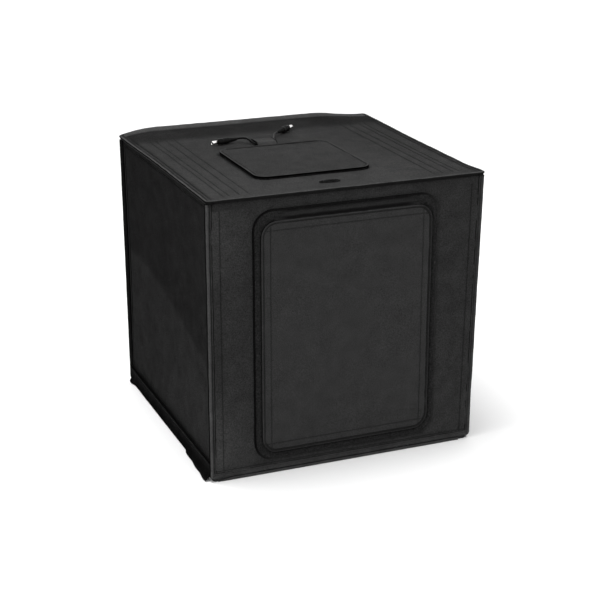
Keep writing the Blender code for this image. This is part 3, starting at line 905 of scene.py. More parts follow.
def run_on(facing, level, start, end, step=0.004, lift=None):
    """A straight stitch run from start to end on a panel's plane."""
    count = max(int(math.dist(start, end) / step), 2)
    share = np.linspace(0.0, 1.0, count)[:, None]
    flat = np.array(start) * (1.0 - share) + np.array(end) * share
    heights = np.zeros(count) if lift is None else lift(flat[:, 0], flat[:, 1])
    points = to_world(facing, level, np.column_stack([flat, heights]))
    return points, AXES[facing][2]


def loop_run(facing, level, box, radius):
    """A row of stitches round a rectangle with round corners."""
    flat = [(spot[0], spot[1], 0.0) for spot, _ in rounded_loop(box, radius)]
    return to_world(facing, level, flat + flat[:1]), AXES[facing][2]


# ---- Lights and stage -----------------------------------------------------------------

def make_stage():
    """A pale paper sweep, flat under the tent and curved up far behind it."""
    reach, bend_start, bend, steps = 6.0, 2.2, 1.2, 12
    rows = [(-reach, 0.0)]
    for step in range(steps + 1):
        angle = math.radians(90.0 * step / steps)
        rows.append((bend_start + bend * math.sin(angle), bend * (1.0 - math.cos(angle))))
    rows.append((bend_start + bend, reach))
    mesh = bpy.data.meshes.new("floor_sweep")
    points = [(x, y, z) for y, z in rows for x in (-reach, reach)]
    faces = [(2 * k, 2 * k + 1, 2 * k + 3, 2 * k + 2) for k in range(len(rows) - 1)]
    mesh.from_pydata(points, [], faces)
    mesh.shade_smooth()
    sweep = bpy.data.objects.new("floor_sweep", mesh)
    bpy.context.scene.collection.objects.link(sweep)
    paper = new_finish("white_paper", 0.9)
    tint(paper, noise_value(paper.node_tree, 3.0), grey(0.94), grey(0.95))
    mesh.materials.append(paper)
    sweep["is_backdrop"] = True


def area_light(name, place, aim, size, power):
    data = bpy.data.lights.new(name, "AREA")
    data.shape = "RECTANGLE"
    data.size, data.size_y = size
    data.energy = power
    light = bpy.data.objects.new(name, data)
    light.location = place
    light.rotation_euler = (Vector(aim) - Vector(place)).to_track_quat("-Z", "Y").to_euler()
    bpy.context.scene.collection.objects.link(light)


def make_lights():
    world = bpy.data.worlds.new("studio")
    bpy.context.scene.world = world
    world.use_nodes = True
    background = world.node_tree.nodes["Background"]
    background.inputs["Color"].default_value = (1.0, 1.0, 1.0, 1.0)
    background.inputs["Strength"].default_value = 1.0
    area_light("top_softbox", (-0.5, 0.1, 2.6), (0.0, 0.0, 0.3), (1.2, 1.2), 45.0)
    area_light("front_softbox", (1.6, -2.6, 1.6), (0.0, 0.0, 0.2), (1.2, 1.2), 12.0)
    bpy.context.scene.view_settings.view_transform = "Standard"


# ---- The tent's sizes -----------------------------------------------------------------

PANEL_T = 0.005
SKIRT = 0.0048        # how far a panel's cloth runs down round its edge
FLAP_SKIRT = 0.0021   # and a flap's
BINDING_DEEP = 0.0049
SIDE_X = 0.1965
END_Y = 0.198
TOP_Z = 0.400
SIDE_BOX = (-0.1927, 0.1927, 0.0053, 0.3947)
END_BOX = (-0.200, 0.200, 0.0053, 0.3947)
ROOF_BOX = (-0.200, 0.200, -0.2015, 0.2015)
FLOOR_BOX = (-0.1965, 0.1965, -0.198, 0.198)
DOOR_BOX = (-0.1252, 0.1250, 0.032, 0.364)
DOOR_FACE_Y = 0.2015
DOOR_HOLE = (-0.112, 0.112, 0.045, 0.352)
BAND_BOX = (-0.136, 0.136, 0.020, 0.379)
HATCH_BOX = (-0.101, 0.069, -0.126, 0.044)
HATCH_FACE_Z = 0.4035
HATCH_HOLE = (-0.086, 0.054, -0.111, 0.029)
HATCH_RING = (-0.1020, 0.0700, -0.1270, 0.0440)
PORT_HOLE = (-0.0315, -0.0085, 0.0539, 0.0705)
FLAP_T = 0.0023

# Rows of stitches: how far each is from its panel's middle line, or its height.
SIDE_ROW = 0.1852
SIDE_HEAD_ROW = 0.3870
FRONT_ROWS = (-0.1815, 0.1830)
FRONT_FOOT_ROW = 0.0150
BACK_ROW = 0.1830
BACK_END_ROWS = (0.0140, 0.3850)
ROOF_ROWS = (-0.171, -0.163, -0.148, -0.135, 0.135, 0.148, 0.163, 0.171)
ROOF_EDGE_ROW = 0.1908
DOOR_ROW_IN = 0.013


def mirrored(box):
    """The same rectangle seen from behind, where across runs the other way."""
    return (-box[1], -box[0], box[2], box[3])


def open_area(box, holes):
    """A rectangle's area without its holes."""
    area = (box[1] - box[0]) * (box[3] - box[2])
    for hole in holes:
        area -= (hole[1] - hole[0]) * (hole[3] - hole[2])
    return area


def fit(piece, body, slot, *nodes):
    """Gives a piece its body and hides the CAD nodes that it stands for; its finish slot is not
    used.
    """
    if nodes:
        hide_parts(*nodes)
    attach(piece, body)
    return piece


def cut_to(box, holes=(), turned_in=0.005):
    """Works out the area of a panel's cloth, cut a little larger than the panel so that it
    turns in, and keeps nothing.
    """
    width = box[1] - box[0] + 2 * turned_in
    length = box[3] - box[2] + 2 * turned_in
    area = open_area((0.0, width, 0.0, length), holes)


def skin(part, facing, box, level, depth, finish, body=None, cut=(), **look):
    """A panel's outer cloth, which stands for the panel's skin in the CAD model."""
    cloth = cloth_panel(part + "_cloth", facing, box, level, depth, FINISH[finish], **look)
    fit(cloth, body or part, "black_fabric", part + "_skin")
    cut_to(box, cut)


def sew(name, body, runs, **sizes):
    """Rows of stitches that ride on one body."""
    fit(stitch(name, runs, **sizes), body, "black_fabric")


def loop_ring(part, body, facing, level, box, hole, pile, **look):
    """A frame of loop tape round a window, and its pile's density, seed and height."""
    band = cloth_panel(part + "_loop_band", facing, box, level, 0.0, FINISH["pile"],
                       cell=0.003, holes=[hole], thickness=0.0006, **look)
    fit(band, body, "loop_tape", part + "_loop_frame")
    tufts = grow_pile(part + "_loop_pile", band, facing, *pile)
    fit(tufts, body, "loop_tape")


def flap_lining(part, facing, box, level, corner, seed):
    """The silver lining under the door or the hatch."""
    inner = mirrored(inner_box(box, 0.0015))
    lining = cloth_panel(
        part + "_silver", facing, inner, FLAP_T - level, 0.0, FINISH["silver"], cell=0.005,
        corner=corner, relief=rumple(inner, seed, 0.0001, 0.0001), thickness=0.0004)
    fit(lining, part, "silver_lining", part + "_lining")
    cut_to(inner)


# ---- Side walls -----------------------------------------------------------------------

CREASE_LINE = (
    (-0.1930, 0.152), (-0.182, 0.154), (-0.107, 0.171), (-0.021, 0.194), (0.135, 0.222),
    (0.1930, 0.231),
)
CREASE_DEEP = 0.0085


def crease_sag(ys, zs):
    """How far a side wall is pushed in: most along the slanted crease where it folds."""
    line = np.interp(ys, *zip(*CREASE_LINE))
    deep = CREASE_DEEP * (0.15 + 0.85 * smooth_step(0.1927 - np.abs(ys), 0.0, 0.06))
    below = np.clip((zs - 0.006) / (line - 0.006), 0.0, 1.0)
    above = np.clip((0.394 - zs) / (0.394 - line), 0.0, 1.0)
    sharp = 34.0
    share = -np.log(np.exp(-sharp * below) + np.exp(-sharp * above)) / sharp
    return deep * np.maximum(share, 0.0)


def crease_painted_light(ys, zs):
    """Painted light: lighter below the crease and towards the front, most at the front foot;
    painted shade above the flap.
    """
    line = np.interp(ys, *zip(*CREASE_LINE))
    below = smooth_step(line - zs, -0.002, 0.010)
    foot = smooth_step(-ys, -0.120, 0.190) * smooth_step(line - zs, 0.0, 0.120)
    front = smooth_step(-ys, -0.120, 0.180)
    flap_shade = 1.0 - smooth_step(zs, 0.024, 0.044)
    return (0.88 + 0.36 * below + 0.30 * foot + 0.16 * front) * (1.0 - 0.30 * flap_shade)


def make_side(side):
    hand = -1.0 if side == "left" else 1.0

    def sag(us, vs):
        return -crease_sag(hand * us, vs)

    def sag_inside(us, vs):
        return crease_sag(-hand * us, vs)

    lower, upper = side + "_lower", side + "_upper"
    cloth = cloth_panel(
        side + "_side_cloth", side, SIDE_BOX, SIDE_X, SKIRT, FINISH["side"], corner=0.0025,
        seams_u=(-SIDE_ROW, SIDE_ROW), seams_v=(SIDE_HEAD_ROW,),
        relief=rumple(SIDE_BOX, 11, 0.00055, 0.0004), bend=sag,
        tone=lambda us, vs: crease_painted_light(hand * us, vs))
    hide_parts(lower + "_skin", upper + "_skin")
    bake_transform(cloth)
    cut_to(SIDE_BOX)
    for edge, name in ((SIDE_BOX[0], "_first_edge"), (SIDE_BOX[1], "_second_edge")):
        # Painted light: the tape at the wall's front edge is lit, the one at its back painted
        # darker.
        light = 1.0 if edge * hand < 0 else 0.35
        strip = edge_roll(side + name, side, SIDE_X, edge, SIDE_BOX[2:], sag, light)
        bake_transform(strip)
    for body, low, high in ((lower, 0.0058, 0.19985), (upper, 0.20015, 0.3942)):
        inner = (-0.1912, 0.1912, low, high)
        board = cloth_panel(
            body + "_stiffener", side, inner, SIDE_X - 0.0012, 0.0, FINISH["board"],
            cell=0.008, corner=0.001, bend=sag, thickness=0.0028)
        fit(board, body, "pp_board", body + "_board")
        lining = cloth_panel(
            body + "_silver", INSIDE_OF[side], inner, PANEL_T - SIDE_X, 0.0, FINISH["silver"],
            cell=0.005, corner=0.001, relief=rumple(inner, 23, 0.00012, 0.0002),
            bend=sag_inside, thickness=0.0006)
        fit(lining, body, "silver_lining", body + "_lining")
        cut_to(inner)
        face = SIDE_X - 0.0001
        runs = [run_on(side, face, (u, low + 0.006), (u, high - 0.006), lift=sag)
                for u in (-SIDE_ROW, SIDE_ROW)]
        if body == upper:
            runs.append(run_on(side, face, (-0.184, SIDE_HEAD_ROW), (0.184, SIDE_HEAD_ROW),
                               lift=sag))
        sew(body + "_stitches", body, runs)


# A side wall's edge tape, in mm in from the wall's edge and out from its face, and its tone: a
# painted highlight on its ridge and painted shadow down the gap at the wall's corner.
EDGE_ROLL = ((9.2, 0.0, 0.30), (8.8, 0.7, 0.70), (7.4, 1.1, 1.10), (6.0, 0.9, 0.85),
             (5.2, 0.6, 0.10), (4.4, 0.6, 0.04), (2.4, 0.6, 0.04), (0.4, 0.5, 0.04),
             (-0.2, -0.6, 0.04), (0.8, -1.0, 0.05))


def edge_roll(name, facing, level, place, ends, bend, light):
    """The rolled tape along a wall's upright edge."""
    inwards = 1.0 if place < 0 else -1.0
    points = []
    for v in np.linspace(*ends, 110):
        for across, out, tone in EDGE_ROLL:
            u = place + across * MM * inwards
            ripple = noise.noise(Vector((u * 30.0, v * 45.0, 5.0))) * 0.00015
            sag = float(bend(np.array([u]), np.array([v]))[0])
            points.append((u, v, out * MM + ripple + sag))
    tones = [tone * light for across, out, tone in EDGE_ROLL]
    return skin_between(name, facing, level, points, FINISH["binding"], tones)


def skin_between(name, facing, level, points, material, tones):
    """Closes a run of equal sections, one tone for each of their points, into a solid strip."""
    width = len(tones)
    rows = len(points) // width
    faces = row_faces(rows, width, around=True) + end_faces(rows, width)
    return face_outwards(add_mesh(
        name, to_world(facing, level, points), faces, material, tones * rows))


# ---- Front and back walls -------------------------------------------------------------

def edge_binding(name, facing, level, box, corner, depth, width, body, seed, bulge=0.0006,
                 thick=0.0005, finish="binding", light=1.0, groove=0.10,
                 edge_tones=EDGE_LIGHT_SHADE, shade=None, **more):
    """Tape folded over a panel's edge, all the way round it."""
    loop = rounded_loop(box, corner)
    profile = binding_profile(width, depth, bulge, thick, light, groove, edge_tones)
    strip = sweep_strip(name, facing, level, loop, profile, FINISH[finish],
                        shape=loose_edge(seed, depth=depth, **more), shade=shade)
    fit(strip, body, "black_fabric")


def wall_binding(facing, corner, profile, shape, shade=None):
    """Tape folded over the front or back wall's sides and foot; its head is in the hinge."""
    strip = sweep_strip(facing + "_binding", facing, END_Y, u_loop(END_BOX, corner), profile,
                        FINISH["binding"], closed=False, shape=shape, shade=shade)
    fit(strip, facing + "_wall", "black_fabric")


def window_binding(name, facing, level, hole, corner, depth, width, body):
    """Tape folded round a window's edge, on both faces of its wall."""
    loop = [(spot, -away) for spot, away in rounded_loop(hole, corner)]
    strip = sweep_strip(name, facing, level, loop, binding_profile(width, depth, 0.0006),
                        FINISH["binding"], shape=loose_edge(91, wave=0.0001))
    fit(strip, body, "black_fabric")


def end_lining(part, facing, box, body, level, holes=()):
    """The silver lining behind the front wall, the back wall or the roof."""
    inner = mirrored(inner_box(box, 0.0085))
    holes = [mirrored(hole) for hole in holes]
    lining = cloth_panel(
        part + "_silver", facing, inner, PANEL_T - level, 0.0, FINISH["silver"], cell=0.005,
        corner=0.002, holes=holes, relief=rumple(inner, 31, 0.00012, 0.00018),
        thickness=0.0006)
    fit(lining, body, "silver_lining", part + "_lining")
    cut_to(inner, holes)


def front_tone(us, vs):
    """Painted light and shade: darker along the head and round the band, lighter at the foot
    and left end.
    """
    head = smooth_step(vs, 0.350, 0.392)
    foot = 1.0 - smooth_step(vs, 0.020, 0.160)
    near_band = smooth_step(rounded_depth(us, vs, BAND_BOX, 0.028), -0.004, -0.0005)
    patchy = 0.07 * soft_noise(us, vs, 0.060, 61)
    left = 1.0 - smooth_step(us, -0.185, -0.130)
    ends = smooth_step(np.abs(vs - 0.200), 0.060, 0.150)
    # Painted shadow under the roof's overhang.
    roof_overhang_shade = smooth_step(vs, 0.3905, 0.3925)
    painted_light_level = 1.0 - 0.08 * head + 0.14 * foot + 0.44 * left * ends
    return (painted_light_level - 0.30 * near_band + patchy) * (1.0 - 0.85 * roof_overhang_shade)


def front_edge_shade(away, tone):
    """Painted light on the binding: highlight kept down its left edge, dimmed down its right,
    and at its foot an even face over a dark painted underside.
    """
    if away[0] < -0.5:
        return tone
    if away[0] > 0.5:
        return 0.28 + 0.42 * tone if tone > 0.12 else tone
    return 0.74 if tone > 0.12 else 0.04


def way_out(us, vs, box, radius):
    """The outward direction of a rounded rectangle's outline nearest to each point."""
    low_u, high_u, low_v, high_v = inner_box(box, radius)
    across = us - np.clip(us, low_u, high_u)
    along = vs - np.clip(vs, low_v, high_v)
    size = np.maximum(np.hypot(across, along), 1e-9)
    return across / size, along / size


def band_tone(us, vs):
    """Painted shadow on the pile, lit from the upper left: along the wall's edge at the left
    and head, along the door's edge elsewhere.
    """
    across, along = way_out(us, vs, DOOR_BOX, 0.022)
    turned_from_light = across * 0.8 - along * 0.45
    beside_door = np.clip(0.5 + 0.8 * turned_from_light, 0.0, 1.0)
    beside_wall = np.clip(0.5 - 0.8 * turned_from_light, 0.15, 1.0)
    to_door = rounded_depth(us, vs, DOOR_BOX, 0.022)
    to_wall = rounded_depth(us, vs, BAND_BOX, 0.028)
    door_edge_shadow = 0.72 * beside_door * np.exp(-((to_door + 0.0012) / 0.0030) ** 2)
    # Painted shadow along the wall's edge.
    edge = 0.80 * beside_wall * np.exp(-(to_wall / 0.0022) ** 2)
    return 1.28 * (1.0 - door_edge_shadow) * (1.0 - edge)


def band_edge_shade(away, tone):
    """Painted shadow: the dark line outside the band fades out down its right side and its
    foot, away from the light.
    """
    turned_from_light = away[0] * 0.8 - away[1] * 0.45
    strength = min(max(0.5 - 0.8 * turned_from_light, 0.0), 1.0)
    return tone * strength + 0.42 * (1.0 - strength)


def make_front():
    # Painted shade along the sewn rows.
    skin("front", "front", END_BOX, END_Y, SKIRT, "wall", "front_wall", [DOOR_HOLE],
         corner=0.003, holes=[DOOR_HOLE], relief=front_relief, tone=front_tone,
         seam_dark=0.20, seams_u=FRONT_ROWS, seams_v=(FRONT_FOOT_ROW,))
    wall_binding("front", 0.0015, binding_profile(0.0072, BINDING_DEEP, 0.0008),
                 loose_edge(3, wave=0.0004, lift=0.0002), front_edge_shade)
    loop_ring("door", "front_wall", "front", END_Y + 0.0001, BAND_BOX, DOOR_HOLE,
              (300000.0, 7), corner=0.028, tone=band_tone,
              relief=rumple(BAND_BOX, 41, 0.00018, 0.0002))
    # A thin tape along the band's outer edge, painted dark as the shadow along it, fading where
    # the light falls.
    band_shadow_line = sweep_strip(
        "band_outer_shadow_line", "front", END_Y,
        rounded_loop(inner_box(BAND_BOX, 0.0008), 0.0272),
        tape_profile(0.0014, 0.0005, 0.08), FINISH["binding"],
        shape=loose_edge(44, wave=0.0004), shade=band_edge_shade)
    fit(band_shadow_line, "front_wall", "black_fabric")
    window_binding("door_window_binding", "front", END_Y, DOOR_HOLE, 0.012, BINDING_DEEP,
                   0.008, "front_wall")
    end_lining("front", "back", END_BOX, "front_wall", END_Y, [DOOR_HOLE])
    face = END_Y - 0.0002
    edge = END_Y + 0.0002
    runs = [run_on("front", face, (x, 0.012), (x, 0.388), lift=front_relief)
            for x in FRONT_ROWS]
    runs += [
        run_on("front", face, (-0.190, FRONT_FOOT_ROW), (0.190, FRONT_FOOT_ROW),
               lift=front_relief),
        run_on("front", edge, (-0.1954, 0.010), (-0.1954, 0.390)),
        run_on("front", edge + 0.0002, (0.1954, 0.010), (0.1954, 0.390)),
        run_on("front", edge, (-0.193, 0.0099), (0.193, 0.0099)),
        loop_run("front", END_Y + 0.0006, inner_box(DOOR_HOLE, -0.0057), 0.018),
    ]
    sew("front_stitches", "front_wall", runs)


def inner_box(box, inset):
    return (box[0] + inset, box[1] - inset, box[2] + inset, box[3] - inset)


def rounded_depth(us, vs, box, radius):
    """How far inside a rounded rectangle each point is, negative outside it."""
    low_u, high_u, low_v, high_v = box
    across = np.abs(us - (low_u + high_u) / 2) - ((high_u - low_u) / 2 - radius)
    along = np.abs(vs - (low_v + high_v) / 2) - ((high_v - low_v) / 2 - radius)
    outside = np.hypot(np.maximum(across, 0.0), np.maximum(along, 0.0))
    inside = np.minimum(np.maximum(across, along), 0.0)
    return radius - outside - inside


def seat(us, vs, box, radius, deep=0.0012):
    """The shallow step that a tape is let into."""
    return -deep * smooth_step(rounded_depth(us, vs, box, radius), 0.0, 0.0030)


def front_relief(us, vs):
    """Cloth drawn over the front board, with a few crumples where it was last folded."""
    broad = rumple(END_BOX, 5, 0.00030, 0.00045)(us, vs) + seat(us, vs, BAND_BOX, 0.028)
    corner = np.exp(-((us - 0.190) / 0.012) ** 2 - ((vs - 0.372) / 0.020) ** 2)
    crumple = 0.0008 * corner * soft_noise(us, vs * 1.4, 0.007, 77)
    return broad + crumple


def make_back():
    relief = rumple(END_BOX, 6, 0.0006, 0.0005)
    skin("back", "back", END_BOX, END_Y, SKIRT, "wall", "back_wall", corner=0.003,
         seams_u=(-BACK_ROW, BACK_ROW), seams_v=BACK_END_ROWS, relief=relief)
    # The binding's edge is painted darker towards its underside, as shade.
    profile = binding_profile(0.0068, BINDING_DEEP, 0.0006,
                              edge_tones=(0.9, 0.9, 0.9, 0.9, 0.8, 0.5, 0.15, 0.10))
    wall_binding("back", 0.003, profile, loose_edge(13))
    end_lining("back", "front", END_BOX, "back_wall", END_Y)
    face = END_Y - 0.0002
    edge = END_Y + 0.0003
    runs = [run_on("back", face, (x, 0.012), (x, 0.388), lift=relief)
            for x in (-BACK_ROW, BACK_ROW)]
    runs += [run_on("back", face, (-0.190, z), (0.190, z), lift=relief)
             for z in BACK_END_ROWS]
    runs += [run_on("back", edge, (x, 0.010), (x, 0.390)) for x in (-0.1956, 0.1956)]
    runs.append(run_on("back", edge, (-0.193, 0.0097), (0.193, 0.0097)))
    sew("back_stitches", "back_wall", runs)


# ---- Door -----------------------------------------------------------------------------

def door_edge_shade(away, tone):
    """Painted shade: the door's edge is darker where it turns away from the light, to the right
    and at its foot.
    """
    return tone * (0.72 if away[0] > 0.3 or away[1] < -0.3 else 1.0)


DOOR_HINGE = [
    (-0.1982, 0.3772), (-0.1990, 0.3752), (-0.1984, 0.3728), (-0.1992, 0.3704),
    (-0.1990, 0.3684), (-0.2002, 0.3664), (-0.2012, 0.3648), (-0.2016, 0.3636),
]
# Tones across the hinge strip: painted shade in its folds, darkest along its top.
DOOR_HINGE_SHADE = (0.06, 0.16, 0.34, 0.34, 0.16, 0.07, 0.12, 0.4)


def make_door():
    relief = rumple(DOOR_BOX, 15, 0.00035, 0.00025)
    low_u, high_u, low_v, high_v = DOOR_BOX
    lines_u = (low_u + DOOR_ROW_IN, high_u - DOOR_ROW_IN)
    lines_v = (low_v + DOOR_ROW_IN, high_v - DOOR_ROW_IN)
    # Painted shade along the sewn lines and down the door's edge.
    skin("door", "front", DOOR_BOX, DOOR_FACE_Y, FLAP_SKIRT, "smooth", turn=0.0008,
         corner=0.022, seams_u=lines_u, seams_v=lines_v, relief=relief, seam_dark=0.13,
         edge_tone=0.2)
    edge_binding("door_binding", "front", DOOR_FACE_Y, DOOR_BOX, 0.022, FLAP_T, 0.0040,
                 "door", 17, bulge=0.0005, thick=0.0003, finish="smooth", light=0.46,
                 groove=0.75, shade=door_edge_shade)
    flap_lining("door", "back", DOOR_BOX, DOOR_FACE_Y, 0.020, 51)
    face = DOOR_FACE_Y - 0.0002
    runs = [run_on("front", face, (u, low_v + 0.003), (u, high_v - 0.003), lift=relief)
            for u in lines_u]
    runs += [run_on("front", face, (low_u + 0.003, v), (high_u - 0.003, v), lift=relief)
             for v in lines_v]
    runs.append(loop_run("front", DOOR_FACE_Y + 0.0003, inner_box(DOOR_BOX, 0.0028), 0.0195))
    sew("door_stitches", "door", runs, thickness=0.0005)
    strip = bent_strip("door_hinge_cloth", "x", -0.106, 0.107, DOOR_HINGE, FINISH["smooth"],
                       tones=DOOR_HINGE_SHADE, ends=(0.022, 0.32, 0.0013), wave=0.0004)
    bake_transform(strip)
    sew("door_hinge_stitches", "front_wall", [
        run_on("front", END_Y + 0.0007, (-0.104, 0.3728), (0.105, 0.3728))])


def bent_strip(name, axis, low, high, profile, material, thickness=0.0005, wave=0.0002,
               step=0.004, tones=None, ends=None):
    """A cloth strip of one section, run along x or y with a little waviness.

    ends is (reach, tone, sink): over that reach its tones run to that one and it sinks
    along the first axis of its section.
    """
    count = max(int((high - low) / step), 2)
    fine = smooth_line([Vector((p[0], p[1], 0.0)) for p in profile], 6)
    tones = tones or [0.5] * len(profile)
    shades = np.interp(np.arange(len(fine)) / 6.0, range(len(tones)), tones)
    points = []
    reach, end_tone, sink = ends or (0.001, 0.5, 0.0)
    for place in np.linspace(low, high, count + 1):
        inset = float(smooth_step(min(place - low, high - place), 0.0, reach))
        for spot in fine:
            here = Vector((place * 70.0, spot.x * 60.0, spot.y * 60.0))
            push = noise.noise(here) * wave
            first, second = spot.x + push + sink * (1.0 - inset), spot.y + push
            points.append((place, first, second) if axis == "x" else (first, place, second))
    width = len(fine)
    shades = np.tile(shades, (count + 1, 1))
    if ends:
        places = np.linspace(low, high, count + 1)
        share = smooth_step(np.minimum(places - low, high - places), 0.0, reach)[:, None]
        shades = shades * share + end_tone * (1.0 - share)
    strip = add_mesh(name, out_of_true(np.array(points)), row_faces(count + 1, width),
                     material, shades.ravel())
    return thicken_both_ways(strip, thickness)


def smooth_line(knots, steps):
    fine = []
    for index in range(len(knots) - 1):
        before = knots[max(index - 1, 0)]
        start = knots[index]
        end = knots[index + 1]
        after = knots[min(index + 2, len(knots) - 1)]
        lean_in = (end - before) / 6
        lean_out = (after - start) / 6
        for step in range(steps):
            t = step / steps
            u = 1.0 - t
            fine.append(start * u ** 3 + (start + lean_in) * 3 * u * u * t
                        + (end - lean_out) * 3 * u * t * t + end * t ** 3)
    fine.append(knots[-1])
    return fine


# ---- Roof and hatch -------------------------------------------------------------------

def roof_swell(xs, ys):
    """The roof cloth's swelling along its rear edge."""
    ramp = 0.56 * smooth_step(ys, 0.126, 0.184) + 0.44 * smooth_step(ys, 0.1850, 0.1900)
    fall = 1.0 - 0.35 * smooth_step(ys, 0.1960, 0.2020)
    start = 1.0 - (1.0 - np.clip((xs + 0.200) / 0.050, 0.0, 1.0)) ** 2
    across = start * (1.0 - smooth_step(xs, 0.110, 0.192))
    return 0.0085 * ramp * fall * across


def roof_relief(us, vs):
    return (rumple(ROOF_BOX, 8, 0.00035, 0.0004)(us, vs) + roof_swell(us, vs)
            + seat(us, vs, HATCH_RING, 0.018))


def roof_tone(us, vs):
    """Painted light and shade, lit from above and the left: the swelling's front slope darker,
    the rear lip lighter.
    """
    ramp = smooth_step(vs, 0.120, 0.150) * (1.0 - smooth_step(vs, 0.1850, 0.1885))
    front = 1.0 - smooth_step(vs, -0.150, 0.060)
    patchy = 0.06 * soft_noise(us, vs, 0.050, 63)
    lip = 1.10 * smooth_step(vs, 0.1845, 0.1870)
    # Painted shadow on the roof in front of and left of the hatch.
    across, along = way_out(us, vs, HATCH_RING, 0.018)
    outside = np.maximum(-rounded_depth(us, vs, HATCH_RING, 0.018), 0.0)
    open_side = np.clip(0.6 - across * 0.5 - along * 0.9, 0.0, 1.0)
    shaded = 0.90 * open_side * np.exp(-(outside / 0.0024) ** 2)
    # Painted shade along the stitched rows just inside the side edges.
    side_fold = 0.62 * np.exp(-((np.abs(us) - 0.1908) / 0.0016) ** 2)
    side_fold *= smooth_step(0.186 - vs, 0.0, 0.02)
    # Lighter towards the front and darker towards the right, as painted light.
    right = smooth_step(us, 0.060, 0.140)
    painted_light_level = 1.0 + 0.26 * front - 0.52 * ramp + lip - 0.18 * right + patchy
    return painted_light_level * (1.0 - shaded) * (1.0 - side_fold)


def hatch_ring_tone(us, vs):
    """Painted shade: the ring's outermost pile, under the hatch's edge, is darkened almost to
    black.
    """
    return 0.12 + 0.88 * smooth_step(rounded_depth(us, vs, HATCH_BOX, 0.018), 0.0, 0.004)


def roof_edge_shade(away, tone):
    """Painted light: along the front the binding's face is evenly lit, with no dark groove,
    above a soft painted shade.
    """
    if away[1] > -0.5:
        return tone
    return max(tone, 0.72) if tone > 0.12 else 0.20


def make_roof():
    # Painted shade along the sewn rows and down the roof's edge.
    skin("roof", "up", ROOF_BOX, TOP_Z, SKIRT, "roof", cut=[HATCH_HOLE], corner=0.005,
         holes=[HATCH_HOLE, PORT_HOLE], seams_u=(-ROOF_EDGE_ROW, *ROOF_ROWS, ROOF_EDGE_ROW),
         span=(-0.180, 0.125), taper=0.0010, relief=roof_relief, tone=roof_tone,
         seam_dark=0.24, edge_tone=0.24)
    edge_binding("roof_binding", "up", TOP_Z, ROOF_BOX, 0.005, 0.0014, 0.0046, "roof", 19,
                 bulge=0.0008, thick=0.0004, swell=roof_swell, wave=0.0005, lift=0.0003,
                 groove=0.14, shade=roof_edge_shade)
    loop_ring("hatch", "roof", "up", TOP_Z, HATCH_RING, HATCH_HOLE, (200000.0, 5, 0.0009),
              corner=0.019, relief=rumple(HATCH_RING, 61, 0.0001, 0.0001),
              tone=hatch_ring_tone)
    window_binding("hatch_window_binding", "up", TOP_Z, HATCH_HOLE, 0.008, BINDING_DEEP,
                   0.005, "roof")
    window_binding("port_binding", "up", TOP_Z, PORT_HOLE, 0.004, BINDING_DEEP, 0.0035,
                   "roof")
    end_lining("roof", "down", ROOF_BOX, "roof", TOP_Z, [HATCH_HOLE, PORT_HOLE])
    face = TOP_Z - 0.0002
    runs = [run_on("up", face, (x, -0.183), (x, 0.130), lift=roof_relief) for x in ROOF_ROWS]
    runs += [run_on("up", face, (x, -0.190), (x, 0.190), lift=roof_relief)
             for x in (-ROOF_EDGE_ROW, ROOF_EDGE_ROW)]
    runs.append(loop_run("up", TOP_Z + 0.0006, inner_box(PORT_HOLE, -0.0024), 0.006))
    sew("roof_stitches", "roof", runs, thickness=0.00045)
    make_patch()
    make_tab()


def make_hatch():
    # Painted shade down the hatch's edge; its binding's edge is painted near black under a thin
    # painted highlight, as the shadow under the raised hatch.
    skin("hatch", "up", HATCH_BOX, HATCH_FACE_Z, FLAP_SKIRT, "roof", turn=0.0008,
         corner=0.018, relief=rumple(HATCH_BOX, 25, 0.0003, 0.0003), edge_tone=0.1)
    edge_binding("hatch_binding", "up", HATCH_FACE_Z, HATCH_BOX, 0.018, FLAP_T, 0.0040,
                 "hatch", 27, bulge=0.0005, thick=0.0003, light=0.90, groove=0.30,
                 edge_tones=(0.55, 0.12, 0.04, 0.04, 0.04, 0.04, 0.04, 0.04))
    flap_lining("hatch", "down", HATCH_BOX, HATCH_FACE_Z, 0.016, 71)
    row = loop_run("up", HATCH_FACE_Z + 0.0002, inner_box(HATCH_BOX, 0.0026), 0.0155)
    sew("hatch_stitches", "hatch", [row], thickness=0.0005)
    section = [(0.0450, 0.4003), (0.0449, 0.4020), (0.0444, 0.4034), (0.0428, 0.4041),
               (0.0385, 0.4041)]
    strip = bent_strip("hatch_hinge_cloth", "x", HATCH_HOLE[0], HATCH_HOLE[1], section,
                       FINISH["binding"], thickness=0.0004, wave=0.0001)
    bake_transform(strip)


PATCH_CENTRE = (-0.014, -0.169)
PATCH_HALF = (0.0155, 0.0055)
PATCH_RINGS = ((0.35, 0.0011), (0.7, 0.0010), (0.88, 0.0009), (0.97, 0.0006), (1.0, 0.0001))


def make_patch():
    """The small oval of loop tape near the roof's front edge, crowned in the middle."""
    centre_x, centre_y = PATCH_CENTRE
    steps = 40
    points = [(centre_x, centre_y, TOP_Z + 0.0013)]
    for share, height in PATCH_RINGS:
        for k in range(steps):
            angle = 2 * math.pi * k / steps
            points.append((centre_x + PATCH_HALF[0] * share * math.cos(angle),
                           centre_y + PATCH_HALF[1] * share * math.sin(angle),
                           TOP_Z + 0.0002 + height))
    faces = [(0, 1 + k, 1 + (k + 1) % steps) for k in range(steps)]
    faces += [tuple(1 + corner for corner in face)
              for face in row_faces(len(PATCH_RINGS), steps, around=True)]
    last = len(points) - steps
    faces.append(tuple(last + k for k in reversed(range(steps))))
    patch = face_outwards(add_mesh("loop_patch", points, faces, FINISH["pile"], 0.34))
    fit(patch, "roof", "loop_tape", "keeper_patch")
    fit(grow_pile("loop_patch_pile", patch, "up", 600000.0, 9), "roof", "loop_tape")


